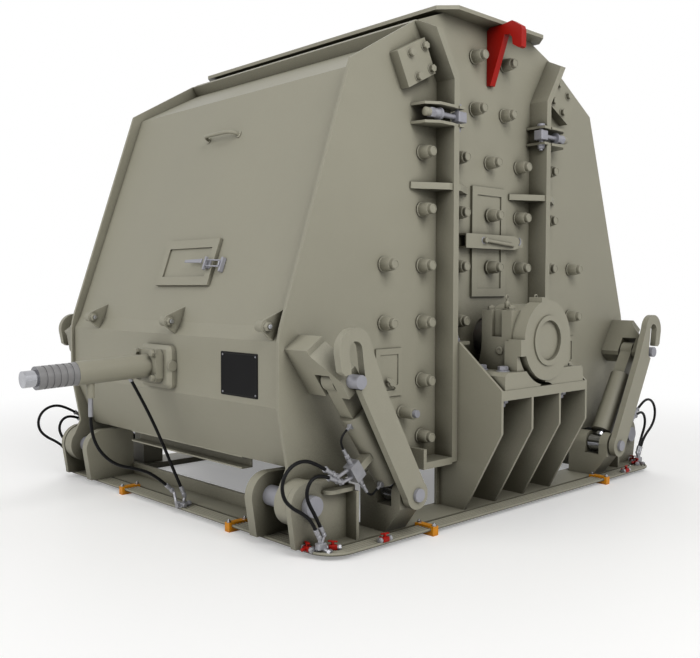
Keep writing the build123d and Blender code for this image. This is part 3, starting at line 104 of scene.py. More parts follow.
def arithmetic(tree, operation, *operands, **settings):
    """Math node on operands that are numbers or pairs of a node and its output; gives such a pair too."""
    made = add_node(tree, "ShaderNodeMath", operation=operation, **settings)
    for index, operand in enumerate(operands):
        if isinstance(operand, tuple):
            join(tree, *operand, made, index)
        else:
            made.inputs[index].default_value = operand
    return made, "Value"


def mapped(tree, value, **limits):
    """Map range node on a pair of a node and its output; gives the node."""
    made = add_node(tree, "ShaderNodeMapRange", **limits)
    join(tree, *value, made, "Value")
    return made


def mixed(tree, factor, first, second):
    """Colour mix of three pairs of a node and its output; gives such a pair too. The sockets go by number, because
    the node has some of each name."""
    made = add_node(tree, "ShaderNodeMix", data_type="RGBA")
    for pair, socket in ((factor, 0), (first, 6), (second, 7)):
        join(tree, *pair, made, socket)
    return made, 2


def occlusion(tree, given, reach, **settings):
    """How open the surface is within the distance of the group's input of that name."""
    made = add_node(tree, "ShaderNodeAmbientOcclusion", **settings)
    join(tree, given, reach, made, "Distance")
    return made, "AO"


def noises(tree, *recipes):
    """Noise textures laid out in the space of the object."""
    place = add_node(tree, "ShaderNodeTexCoord")
    made = [add_node(tree, "ShaderNodeTexNoise", **values) for values in recipes]
    for texture in made:
        join(tree, place, "Object", texture, "Vector")
    return made


def blended(tree, factor, first, second):
    """Mix of two shader nodes by a pair of a node and its output."""
    made = add_node(tree, "ShaderNodeMixShader")
    join(tree, *factor, made, 0)
    join(tree, first, 0, made, 1)
    join(tree, second, 0, made, 2)
    return made


def shown_white(tree):
    """1 for rays of the camera and for those it sees in a mirror or through glass, 0 for the others."""
    ray = add_node(tree, "ShaderNodeLightPath")
    seen = arithmetic(tree, "MAXIMUM", (ray, "Is Camera Ray"), (ray, "Is Glossy Ray"))
    return arithmetic(tree, "MAXIMUM", seen, (ray, "Is Transmission Ray"))


# Shader groups
COAT_OUTPUTS = [("Color", "NodeSocketColor"), ("Roughness", "NodeSocketFloat"), ("Height", "NodeSocketFloat")]
# How much rougher the cloudy patches of a coat are, and the stains on metal
ROUGHNESS_SWING = 0.06
STAIN_ROUGHNESS = 0.3
# Openness under which an edge gets the painted highlight
EDGE_START = 0.85
CLEAR_COAT_ROUGHNESS = 0.25
RELIEF = 0.35


def paint_group():
    """Painted surface seen close: fine orange-peel grain, soft cloudy patches, dust that settles on faces that look
    up, painted shade that darkens corners and creases, and a painted highlight that makes edges paler. It puts out
    the colour, roughness and height of the coat."""
    tree, given, made = new_group(
        "painted_coat",
        [("Paint", "NodeSocketColor", (0.5, 0.5, 0.5, 1)),
         ("Grime", "NodeSocketColor", (0.1, 0.1, 0.1, 1)),
         ("Dust", "NodeSocketColor", (0.6, 0.6, 0.6, 1)),
         ("Roughness", "NodeSocketFloat", 0.5),
         ("Patches", "NodeSocketFloat", 0.1),
         ("Grain", "NodeSocketFloat", 0.1),
         ("Corner Reach", "NodeSocketFloat", 0.2),
         ("Corner Depth", "NodeSocketFloat", 0.5),
         ("Crease Width", "NodeSocketFloat", 0.03),
         ("Crease Depth", "NodeSocketFloat", 0.4),
         ("Edge Width", "NodeSocketFloat", 0.008),
         ("Edge Shine", "NodeSocketFloat", 0.2)],
        COAT_OUTPUTS,
    )
    cloud, grain = noises(tree, {"Scale": 1.7, "Detail": 5.0, "Roughness": 0.62},
                          {"Scale": 260.0, "Detail": 2.0, "Roughness": 0.6})
    swing, fleck = (mapped(tree, (texture, "Fac"), From_Min=0.3, From_Max=0.7, To_Min=-1.0, To_Max=1.0)
                    for texture in (cloud, grain))
    patches = arithmetic(tree, "MULTIPLY", (swing, "Result"), (given, "Patches"))
    flecks = arithmetic(tree, "MULTIPLY", (fleck, "Result"), (given, "Grain"))
    tone = arithmetic(tree, "ADD", arithmetic(tree, "ADD", patches, flecks), 1.0)
    toned = add_node(tree, "ShaderNodeVectorMath", operation="SCALE")
    join(tree, given, "Paint", toned, 0)
    join(tree, *tone, toned, "Scale")
    colour = toned, "Vector"
    # Painted shade where the surface is hemmed in, then a darker line of painted shade in narrow creases
    for reach, depth, samples, full in (("Corner Reach", "Corner Depth", 8, 0.82),
                                        ("Crease Width", "Crease Depth", 6, 0.8)):
        hemmed = arithmetic(tree, "SUBTRACT", 1.0, occlusion(tree, given, reach, samples=samples))
        amount = mapped(tree, hemmed, interpolation_type="SMOOTHSTEP", From_Min=0.2, From_Max=full)
        join(tree, given, depth, amount, "To Max")
        colour = mixed(tree, (amount, "Result"), colour, (given, "Grime"))
    # Dust on faces that look up
    normal = add_node(tree, "ShaderNodeSeparateXYZ")
    join(tree, add_node(tree, "ShaderNodeNewGeometry"), "Normal", normal, 0)
    level = mapped(tree, (normal, "Z"), From_Min=0.55, From_Max=1.0, To_Min=0.0, To_Max=0.3)
    settled = arithmetic(tree, "MULTIPLY", (level, "Result"), (cloud, "Fac"), use_clamp=True)
    colour = mixed(tree, settled, colour, (given, "Dust"))
    # Painted highlight: paint made paler along outer edges, in the dust colour
    edge = occlusion(tree, given, "Edge Width", samples=4, inside=True)
    edge_closeness = arithmetic(tree, "SUBTRACT", EDGE_START, edge, use_clamp=True)
    painted_highlight = arithmetic(tree, "MULTIPLY", edge_closeness, (given, "Edge Shine"), use_clamp=True)
    join(tree, *mixed(tree, painted_highlight, colour, (given, "Dust")), made, "Color")
    rough = arithmetic(tree, "MULTIPLY_ADD", (swing, "Result"), ROUGHNESS_SWING, (given, "Roughness"))
    join(tree, *rough, made, "Roughness")
    join(tree, grain, "Fac", made, "Height")
    return tree


def metal_group():
    """Machined or plated metal: tool marks as fine noise, with cloudy stains that dull the shine."""
    tree, given, made = new_group(
        "worked_metal",
        [("Metal", "NodeSocketColor", (0.5, 0.5, 0.5, 1)),
         ("Stain", "NodeSocketColor", (0.2, 0.2, 0.2, 1)),
         ("Roughness", "NodeSocketFloat", 0.35),
         ("Stains", "NodeSocketFloat", 0.3)],
        COAT_OUTPUTS,
    )
    cloud, marks = noises(tree, {"Scale": 9.0, "Detail": 6.0, "Roughness": 0.65}, {"Scale": 420.0, "Detail": 2.0})
    stained = mapped(tree, (cloud, "Fac"), From_Min=0.45, From_Max=0.75)
    amount = arithmetic(tree, "MULTIPLY", (stained, "Result"), (given, "Stains"), use_clamp=True)
    join(tree, *mixed(tree, amount, (given, "Metal"), (given, "Stain")), made, "Color")
    rough = arithmetic(tree, "MULTIPLY_ADD", amount, STAIN_ROUGHNESS, (given, "Roughness"))
    join(tree, *rough, made, "Roughness")
    join(tree, marks, "Fac", made, "Height")
    return tree


class Finish:
    """Recipe of one material: its group, the height of its grain in metres, and a slot name, which is not used."""
    def __init__(self, group, slot, bump, values, metallic=0.0, coat=0.0, specular=0.5):
        self.group, self.slot, self.bump, self.values = group, slot, bump, values
        self.metallic, self.coat, self.specular = metallic, coat, specular


def coated(slot, bump, paint, painted_shade, dust_and_highlight, coat=0.0, specular=0.5, **values):
    """Recipe of a paint or a rubber cover; the colours are linear."""
    return Finish("painted_coat", slot, bump, {"Paint": paint, "Grime": painted_shade, "Dust": dust_and_highlight, **values},
                  coat=coat, specular=specular)


def bare(slot, bump, metal, stain, roughness, stains, metallic):
    """Recipe of a metal that carries no paint; the colours are linear."""
    return Finish("worked_metal", slot, bump,
                  {"Metal": metal, "Stain": stain, "Roughness": roughness, "Stains": stains}, metallic)


FINISHES = {}
MADE = {}


def fill_finishes(tones):
    """Recipes of all finishes, with the colours of the settings."""
    # Each coat's colours are its paint, the painted shade of its corners and creases, and its dust, which also gives
    # the painted highlight along edges
    FINISHES.update({
        "housing_paint": coated(
            "olive_paint", 0.0006, (*tones.paint, 1), (*tones.painted_shade, 1), (*tones.dust_and_highlight, 1), specular=0.25,
            Roughness=0.5, Patches=0.035, Grain=0.03, Corner_Reach=0.36, Corner_Depth=0.95, Crease_Width=0.03,
            Crease_Depth=0.5, Edge_Width=0.01, Edge_Shine=0.25),
        "red_enamel": coated(
            "red_paint", 0.0004, (*tones.warning_red, 1), linear((70, 4, 1)), linear((176, 34, 20)), specular=0.2,
            Roughness=0.45, Patches=0.05, Grain=0.03, Corner_Reach=0.2, Corner_Depth=0.8, Edge_Width=0.006,
            Edge_Shine=0.3),
        "orange_clamp": coated(
            "orange_paint", 0.0003, (*tones.clamp_orange, 1), linear((140, 80, 6)), linear((230, 176, 90)),
            specular=0.25, Roughness=0.42, Patches=0.05, Grain=0.05, Corner_Reach=0.04, Corner_Depth=0.5,
            Edge_Width=0.004, Edge_Shine=0.3),
        "hose_cover": coated(
            "hose_rubber", 0.0005, linear((9, 9, 10)), linear((5, 5, 5)), linear((24, 24, 23)), specular=0.14,
            Roughness=0.46, Patches=0.2, Grain=0.25, Corner_Reach=0.03, Corner_Depth=0.3, Edge_Width=0.001,
            Edge_Shine=0.0),
        "dark_plate": coated(
            "steel", 0.0002, linear((14, 14, 15)), linear((8, 8, 8)), linear((60, 59, 57)), specular=0.12,
            Roughness=0.6, Patches=0.1, Grain=0.08, Corner_Reach=0.03, Corner_Depth=0.3, Edge_Width=0.002,
            Edge_Shine=0.5),
        "grey_enamel": coated(
            "steel", 0.0003, linear((132, 131, 131)), linear((70, 70, 72)), linear((166, 166, 168)), coat=0.1,
            Roughness=0.42, Patches=0.05, Grain=0.03, Corner_Reach=0.05, Corner_Depth=0.7, Edge_Width=0.003,
            Edge_Shine=0.3),
        "pin_steel": bare("steel", 0.0002, (*tones.steel, 1), linear((118, 118, 122)), 0.42, 0.35, 0.25),
        "fitting_steel": bare("steel", 0.0001, linear((154, 154, 158)), linear((98, 98, 100)), 0.34, 0.4, 0.55),
        "polished_chrome": bare("chrome", 0.00005, linear((176, 177, 181)), linear((84, 84, 88)), 0.16, 0.45, 1.0),
        "dull_tip": bare("chrome", 0.0001, linear((118, 118, 121)), linear((70, 70, 73)), 0.24, 0.3, 0.9),
        "wear_plate": bare("wear_steel", 0.0012, linear((112, 108, 102)), linear((84, 66, 50)), 0.5, 0.8, 0.7),
    })


def finish(name):
    """The named material, made the first time it is asked for: a Principled shader fed by one of the groups."""
    if name in MADE:
        return MADE[name]
    recipe = FINISHES[name]
    group = bpy.data.node_groups.get(recipe.group) or GROUPS[recipe.group]()
    material = MADE[name] = bpy.data.materials.new(name)
    material.use_nodes = True
    tree = material.node_tree
    shader = tree.nodes["Principled BSDF"]
    shader.inputs["Metallic"].default_value = recipe.metallic
    shader.inputs["Coat Weight"].default_value = recipe.coat
    shader.inputs["Coat Roughness"].default_value = CLEAR_COAT_ROUGHNESS
    shader.inputs["Specular IOR Level"].default_value = recipe.specular
    surface = add_node(tree, "ShaderNodeGroup", node_tree=group)
    for key, value in recipe.values.items():
        surface.inputs[key.replace("_", " ")].default_value = value
    relief = add_node(tree, "ShaderNodeBump", Strength=RELIEF, Distance=recipe.bump)
    join(tree, surface, "Height", relief, "Height")
    join(tree, surface, "Color", shader, "Base Color")
    join(tree, surface, "Roughness", shader, "Roughness")
    join(tree, relief, "Normal", shader, "Normal")
    return material


GROUPS = {"painted_coat": paint_group, "worked_metal": metal_group}


# Settings a user would change
class CrusherFinish(bpy.types.PropertyGroup):
    paint: bpy.props.FloatVectorProperty(
        name="Paint", description="Olive grey housing paint", size=3, subtype="COLOR",
        default=linear((150, 147, 131))[:3])
    # Painted shade: the darker colour mixed into corners and creases
    painted_shade: bpy.props.FloatVectorProperty(
        name="Grime", description="Colour of the paint in corners", size=3, subtype="COLOR",
        default=linear((60, 57, 44))[:3])
    # Dust on level faces; the same colour makes the painted highlight along edges
    dust_and_highlight: bpy.props.FloatVectorProperty(
        name="Dust", description="Colour of dust on level faces", size=3, subtype="COLOR",
        default=linear((164, 161, 146))[:3])
    steel: bpy.props.FloatVectorProperty(
        name="Steel", description="Machined pins and arms", size=3, subtype="COLOR",
        default=linear((150, 150, 157))[:3])
    warning_red: bpy.props.FloatVectorProperty(
        name="Red", description="Lifting hooks and valve caps", size=3, subtype="COLOR",
        default=linear((160, 16, 4))[:3])
    clamp_orange: bpy.props.FloatVectorProperty(
        name="Orange", description="Pipe clamps", size=3, subtype="COLOR",
        default=linear((214, 138, 14))[:3])


class CrusherStage(bpy.types.PropertyGroup):
    lens: bpy.props.FloatProperty(name="Lens", description="Focal length of the camera in millimetres", default=44.35)
    sky: bpy.props.FloatProperty(name="Sky", description="Strength of the even light", default=0.26)
    key: bpy.props.FloatProperty(name="Key lamp", description="Strength of the main lamp in watts", default=470.0)
    fill: bpy.props.FloatProperty(name="Fill lamp", description="Strength of the side lamp in watts", default=225.0)
    rear: bpy.props.FloatProperty(name="Rear lamp", description="Strength of the back lamp in watts", default=380.0)


class CrusherHoses(bpy.types.PropertyGroup):
    radius: bpy.props.FloatProperty(
        name="Hose radius", description="Half the thickness of the main hoses", default=0.009, unit="LENGTH")
    thin_radius: bpy.props.FloatProperty(
        name="Thin hose radius", description="Half the thickness of the short hoses on the cylinders", default=0.0055,
        unit="LENGTH")


class CrusherBolts(bpy.types.PropertyGroup):
    nut_scale: bpy.props.FloatProperty(
        name="Liner nut scale", description="Size of the liner nuts, 1 is 85 mm across the flange", default=1.0)


# Surfaces worked out with numpy
def turned(profile, sides=24):
    """Surface of revolution: point (u, v) has radius r(u), height h(u) and angle v round the z axis."""
    profile = np.asarray(profile, float)
    angle = np.arange(sides) / sides * math.tau
    radius, height = profile[:, :1], profile[:, 1:]
    return np.stack([radius * np.cos(angle), radius * np.sin(angle), height + 0 * angle], axis=-1)


def pushed(outline, by):
    """Outline moved outwards: each corner goes along the sum of its two edge normals over one plus their dot
    product."""
    edge = np.roll(outline, -1, axis=0) - outline
    normal = np.stack([edge[:, 1], -edge[:, 0]], axis=-1) / np.linalg.norm(edge, axis=1, keepdims=True)
    before = np.roll(normal, 1, axis=0)
    return outline + by * (normal + before) / (1 + (normal * before).sum(axis=1, keepdims=True))


def slab(outline, low, high, bevel=0.0015):
    """Outline carried from height low to high in four rings, the first and last drawn in by the bevel."""
    outline = np.asarray(outline, float)
    rows = ((pushed(outline, -bevel), low), (outline, low + bevel), (outline, high - bevel),
            (pushed(outline, -bevel), high))
    return np.stack([np.column_stack([flat, np.full(len(flat), height)]) for flat, height in rows])


def hexagon(across):
    """Six corners at equal angles, so that two opposite edges are that far apart."""
    angle = np.arange(6) / 6 * math.tau
    return across / math.sqrt(3) * np.stack([np.cos(angle), np.sin(angle)], axis=-1)


def rounded(width, height, corner, steps=4):
    """Rectangle whose four corners are quarter circles, anticlockwise from the corner at plus x, plus y."""
    turn = np.linspace(0, math.pi / 2, steps + 1)
    quarters = []
    for number, (x, y) in enumerate(((1, 1), (-1, 1), (-1, -1), (1, -1))):
        angle = turn + number * math.pi / 2
        middle = np.array((x * (width / 2 - corner), y * (height / 2 - corner)))
        quarters.append(middle + corner * np.stack([np.cos(angle), np.sin(angle)], axis=-1))
    return np.concatenate(quarters)


def tube(line, radius, sides=14, level=(0, 1, 0)):
    """Circle carried along a line: it lies across the tangent, on the cross product of tangent and level and on
    the cross product of that and the tangent."""
    line = np.asarray(line, float)
    tangent = np.gradient(line, axis=0)
    tangent /= np.linalg.norm(tangent, axis=1, keepdims=True)
    side = np.cross(tangent, level)
    side /= np.linalg.norm(side, axis=1, keepdims=True)
    other = np.cross(side, tangent)
    angle = np.arange(sides) / sides * math.tau
    radius = np.broadcast_to(radius, len(line))[:, None, None]
    return line[:, None] + radius * (
        np.cos(angle)[None, :, None] * side[:, None] + np.sin(angle)[None, :, None] * other[:, None])


def put(shape, origin, out=(0, -1, 0), up=(0, 0, 1)):
    """Shape turned so that its z axis points out and its y axis up, then moved to the origin given."""
    out, up = Vector(out).normalized(), Vector(up)
    across = up.cross(out).normalized()
    up = out.cross(across)
    return shape @ np.array([across, up, out]) + np.array(origin)


def mirrored(shapes, side, end):
    """Near left shapes for that side and end: x and y change sign."""
    return [shape * np.array([SIDES[side], ENDS[end], 1.0]) for shape in shapes]


def skin(shape):
    """Closed skin over a stack of rings: a quad joins points v and v + 1 of rings u and u + 1, and one flat face
    closes the first and the last ring. A negative volume turns all faces round."""
    rows, around = shape.shape[:2]
    index = np.arange(rows * around).reshape(rows, around)
    after = np.roll(index, -1, axis=1)
    quads = np.stack([index[:-1], after[:-1], after[1:], index[1:]], axis=-1).reshape(-1, 4)
    caps = np.stack([index[0][::-1], index[-1]])
    points = shape.reshape(-1, 3)
    a, b, c, d = ((points - points.mean(axis=0))[quads[:, corner]] for corner in range(4))
    if (np.cross(a, b) * c).sum() + (np.cross(a, c) * d).sum() < 0:
        quads, caps = quads[:, ::-1], caps[:, ::-1]
    return points, quads, caps


def build(name, shapes, material, body=None, sharp=34.0):
    """One piece from several closed shapes, smooth but for edges sharper than the angle given."""
    points, faces, start = [], [], 0
    for shape in shapes:
        corners, quads, caps = skin(shape)
        points.append(corners)
        faces += (quads + start).tolist() + (caps + start).tolist()
        start += len(corners)
    mesh = bpy.data.meshes.new(name)
    mesh.from_pydata(np.concatenate(points), [], faces)
    mesh.polygons.foreach_set("use_smooth", np.ones(len(mesh.polygons), bool))
    mesh.set_sharp_from_angle(angle=math.radians(sharp))
    mesh.materials.append(finish(material))
    made = bpy.data.objects.new(name, mesh)
    bpy.context.scene.collection.objects.link(made)
    if body:
        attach(made, body)
    return made


# Small fasteners
def hex_bolt(across, head, washer=0.004, stud=0.0):
    """Washer, hexagon head or nut and, where it has one, the end of the stud, standing on z = 0."""
    shapes = [turned([(0.72 * across, 0), (0.72 * across, 0.7 * washer), (0.68 * across, washer)], 22),
              slab(hexagon(across), washer, washer + head, 0.06 * across)]
    if stud:
        top = washer + head + stud
        radius = 0.31 * across
        shapes.append(turned([(radius, washer), (radius, top - 0.003), (radius - 0.003, top)], 16))
    return shapes


def placed(shapes, origin, out=(0, -1, 0), up=(0, 0, 1)):
    """Several shapes of one part, all put at the same origin."""
    return [put(shape, origin, out, up) for shape in shapes]


def rod(start, end, radius, sides=16, bevel=0.002):
    """Straight round bar from start to end with a small bevel on both rims."""
    start, end = Vector(start), Vector(end)
    length = (end - start).length
    up = (0, 1, 0) if abs((end - start).normalized().y) < 0.9 else (0, 0, 1)
    return put(turned([(radius - bevel, 0), (radius, bevel), (radius, length - bevel), (radius - bevel, length)],
                      sides), start, end - start, up)


def smooth_line(route):
    """Points on the spline whose control points are the route's."""
    curve = bpy.data.curves.new("route", "CURVE")
    curve.dimensions = "3D"
    curve.resolution_u = 14
    spline = curve.splines.new("NURBS")
    spline.points.add(len(route) - 1)
    spline.points.foreach_set("co", np.column_stack([np.asarray(route, float), np.ones(len(route))]).ravel())
    spline.order_u = 3
    spline.use_endpoint_u = True
    holder = bpy.data.objects.new("route", curve)
    bpy.context.scene.collection.objects.link(holder)
    mesh = bpy.data.meshes.new_from_object(holder)
    line = np.empty(3 * len(mesh.vertices))
    mesh.vertices.foreach_get("co", line)
    bpy.data.objects.remove(holder)
    bpy.data.meshes.remove(mesh)
    bpy.data.curves.remove(curve)
    return line.reshape(-1, 3)


# Hoses
OUTER_ROUTE = [(-1.495, -1.300, 0.428), (-1.571, -1.300, 0.474), (-1.650, -1.300, 0.490), (-1.722, -1.300, 0.462),
               (-1.760, -1.300, 0.400), (-1.750, -1.300, 0.328), (-1.700, -1.300, 0.277), (-1.635, -1.300, 0.240),
               (-1.580, -1.300, 0.195), (-1.548, -1.300, 0.135)]
INNER_ROUTE = [(-1.471, -1.300, 0.384), (-1.525, -1.300, 0.406), (-1.583, -1.300, 0.392), (-1.611, -1.300, 0.345),
               (-1.605, -1.300, 0.290), (-1.557, -1.300, 0.217), (-1.518, -1.300, 0.143)]
FEED_ROUTE = [(-2.031, 0.0, 0.592), (-2.031, 0.0, 0.509), (-1.986, -0.005, 0.395), (-1.892, -0.012, 0.309),
              (-1.775, -0.022, 0.276), (-1.666, -0.032, 0.228), (-1.580, -0.038, 0.146)]
RETURN_ROUTE = [(-1.784, 0.0, 0.768), (-1.713, 0.0, 0.644), (-1.643, -0.008, 0.500), (-1.589, -0.025, 0.363),
                (-1.545, -0.048, 0.233), (-1.507, -0.070, 0.124)]
PILOT_ROUTE = [(-1.367, -1.300, 0.494), (-1.384, -1.300, 0.520), (-1.394, -1.300, 0.552), (-1.376, -1.300, 0.586),
               (-1.343, -1.300, 0.607)]
DRAIN_ROUTE = [(-1.226, -1.300, 0.288), (-1.206, -1.300, 0.262), (-1.180, -1.300, 0.254), (-1.152, -1.300, 0.270),
               (-1.133, -1.300, 0.285)]


# Points of its line past the outermost bend at which a corner hose is parted
PAST_BEND = 4
# Ferrule on the end of a hose: how far it stands out from the hose, and the height past the hose's end
FERRULE = [(0.0, -0.018), (0.0035, -0.016), (0.0035, 0.012), (0.002, 0.014), (0.002, 0.022), (0.0035, 0.024),
           (0.0035, 0.038), (0.0, 0.040)]


class CRUSHER_OT_hoses(bpy.types.Operator):
    """Carry round hoses along their routes, in two lengths where they cross a hinge, and end them in ferrules"""
    bl_idname = "crusher.hoses"
    bl_label = "Hoses"

    def hose(self, name, line, radius, end_name, end_body=FRAME_BODY):
        """Tube along the line; one that ends in a fitting gets a crimped ferrule there, which rides on that body."""
        made = build(name, [tube(line, radius)], "hose_cover")
        if end_name == "fitting":
            last = Vector(line[-1])
            along = (last - Vector(line[-3])).normalized()
            crimp = turned([(radius + more, height) for more, height in FERRULE], 18)
            build(f"{name}_ferrule", [put(crimp, last, along, (0, 1, 0))], "fitting_steel", end_body)
        return made

    def execute(self, context):
        radius = context.scene.crusher_hoses.radius
        thin = context.scene.crusher_hoses.thin_radius
        for side in SIDES:
            for end in ENDS:
                barrel = f"lift_barrel_{end}_{side}"
                for label, route in (("outer", OUTER_ROUTE), ("inner", INNER_ROUTE)):
                    line = smooth_line(route)
                    middle = int(np.argmin(line[:, 0])) + PAST_BEND
                    line = line * np.array([SIDES[side], ENDS[end], 1.0])
                    node = f"hose_{label}_{end}_{side}"
                    upper = self.hose(f"{node}_upper", line[:middle + 1], radius, "object")
                    lower = self.hose(f"{node}_lower", line[middle:], radius, "fitting")
                    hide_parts(node)
                    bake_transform(upper)
                    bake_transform(lower)
                for label, route in (("pilot", PILOT_ROUTE), ("drain", DRAIN_ROUTE)):
                    line = smooth_line(route)[::-1] * np.array([SIDES[side], ENDS[end], 1.0])
                    short = self.hose(f"hose_{label}_{end}_{side}", line, thin, "fitting", barrel)
                    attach(short, barrel)
            for label, route in (("feed", FEED_ROUTE), ("return", RETURN_ROUTE)):
                line = smooth_line(route) * np.array([SIDES[side], 1.0, 1.0])
                node = f"hose_{label}_{side}"
                made = self.hose(f"{node}_tube", line, radius, "fitting")
                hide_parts(node)
                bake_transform(made)
        return {"FINISHED"}


# Liner nuts
NUT_PROFILE = [(0.0415, 0.0), (0.0425, 0.002), (0.0425, 0.009), (0.0405, 0.011), (0.0385, 0.0115), (0.0385, 0.028),
               (0.0345, 0.067), (0.0320, 0.071), (0.0275, 0.0715), (0.0275, 0.072), (0.0270, 0.090), (0.0240, 0.094),
               (0.0205, 0.094), (0.0195, 0.0915)]
WALL_Y = -1.100
COVER_Y = -1.116
WALL_NUTS = [(0, 2.040), (0.300, 2.040), (0.300, 1.725), (0.300, 1.415), (0.300, 1.100), (0.145, 2.645),
             (0.145, 2.340)]
COVER_NUTS = [(0, 1.725), (0, 1.415)]
HOOD_NUTS = [(0.600, 2.040), (0.600, 1.725), (0.600, 1.415), (0.600, 1.100), (0.600, 0.776), (0.600, 0.460),
             (0.900, 1.415), (0.900, 1.100)]


class CRUSHER_OT_liner_nuts(bpy.types.Operator):
    """Turn the tapering nuts that hold the wear liners and set them in rows on the side plates"""
    bl_idname = "crusher.liner_nuts"
    bl_label = "Liner nuts"

    def execute(self, context):
        nut = turned(np.array(NUT_PROFILE) * context.scene.crusher_bolts.nut_scale, 26)
        for end in ENDS:
            fixed = [put(nut, (sign * x, WALL_Y, z)) for x, z in WALL_NUTS for sign in ((1, -1) if x else (1,))]
            fixed += [put(nut, (x, COVER_Y, z)) for x, z in COVER_NUTS]
            build(f"liner_nuts_{end}", mirrored(fixed, "left", end), "housing_paint", FRAME_BODY)
            for side in SIDES:
                moving = [put(nut, (-x, WALL_Y, z)) for x, z in HOOD_NUTS]
                build(f"liner_nuts_{end}_{side}", mirrored(moving, side, end), "housing_paint", f"hood_{side}")
        return {"FINISHED"}


# Bolts on the hoods
COVER_BOLTS = [(-0.758, 2.545), (-0.648, 2.602), (-0.696, 2.430), (-0.591, 2.489)]
COVER_BOLT_Y = -1.160
HATCH_FACE_Y = -1.112
COVER_UP = (0.46, 0, 0.888)
HATCH_KNOB = (-0.862, HATCH_FACE_Y + 0.006, 0.778)
HATCH_UP = (0.55, 0, 0.83)
STOP_PEG = (-0.757, WALL_Y, 0.610)
FLANGE_BOLTS = [(-1.690, y, z) for y in (-0.085, 0.085) for z in (0.785, 0.925)]
FLANGE_PLUG = (-1.619, -0.160, 0.853)


class CRUSHER_OT_hood_bolts(bpy.types.Operator):
    """Bolts of the shaft covers and adjuster flanges, the plugs beside these, the stop pegs and the hatch levers"""
    bl_idname = "crusher.hood_bolts"
    bl_label = "Hood bolts"

    def execute(self, context):
        cover = hex_bolt(0.036, 0.022, 0.004)
        flange = hex_bolt(0.034, 0.02, 0.004)
        knob = turned([(0.024, 0), (0.024, 0.018), (0.019, 0.022), (0.019, 0.03), (0.016, 0.033)], 22)
        lever = slab(rounded(0.094, 0.018, 0.008), 0.02, 0.032)
        peg = turned([(0.036, 0), (0.036, 0.010), (0.032, 0.013), (0.032, 0.098), (0.029, 0.103)], 24)
        tip = turned([(0.0215, 0.100), (0.0215, 0.122), (0.0195, 0.125)], 22)
        plug = turned([(0.031, 0), (0.031, 0.003), (0.029, 0.005)], 26)
        for side in SIDES:
            hood = f"hood_{side}"
            for end in ENDS:
                shapes = []
                for x, z in COVER_BOLTS:
                    shapes += placed(cover, (x, COVER_BOLT_Y, z), up=COVER_UP)
                shapes += placed([knob, lever], HATCH_KNOB, up=HATCH_UP)
                shapes.append(put(peg, STOP_PEG))
                build(f"hood_bolts_{end}_{side}", mirrored(shapes, side, end), "housing_paint", hood)
                build(f"stop_peg_end_{end}_{side}", mirrored([put(tip, STOP_PEG)], side, end), "pin_steel", hood)
            shapes = [shape for place in FLANGE_BOLTS for shape in placed(flange, place, **OUTWARDS)]
            shapes.append(put(plug, FLANGE_PLUG))
            build(f"adjuster_bolts_{side}", mirrored(shapes, side, "near"), "housing_paint", hood)
        return {"FINISHED"}


# Latch, handle and hinge lug pins on the panels
PANEL_UP = (0.333, 0.0, 0.943)
PANEL_OUT = (-0.943, 0.0, 0.333)
PANEL_TOP = (-1.0795, 0.0, 2.4417)
ON_PANEL = {"out": PANEL_OUT, "up": PANEL_UP}
LUG_TIP = (-1.632, 1.103)
LUGS_Y = (0.756, -0.140, -1.020)
LID = 0.020
LATCH_UP = -1.093
HANDLE_UP = -0.272
# Line of the grab handle: place across the panel and height over it
GRIP = [(0.118, 0.004), (0.112, 0.040), (0.070, 0.052), (-0.03, 0.053), (-0.130, 0.052), (-0.172, 0.040),
        (-0.178, 0.004)]
PLATE = (-1.594, -0.753, 0.847)
# Rims of the bare plate: width, height and place across and up
RIMS = [(0.300, 0.004, 0, 0.105), (0.300, 0.004, 0, -0.105), (0.004, 0.214, 0.148, 0), (0.004, 0.214, -0.148, 0)]
RIVETS = [(y, z) for y in (-0.140, 0.140) for z in (-0.097, 0.097)]


def on_panel(up, y, out=0.0):
    """Point of the sloping panel: its top corner plus up along the slope, y across and out from the face."""
    return (np.array(PANEL_TOP) + up * np.array(PANEL_UP) + out * np.array(PANEL_OUT) + (0, y, 0)).tolist()


def on_plate(y, z):
    """Point of the bare plate at that place across and up from its middle."""
    return (PLATE[0], PLATE[1] + y, PLATE[2] + z)


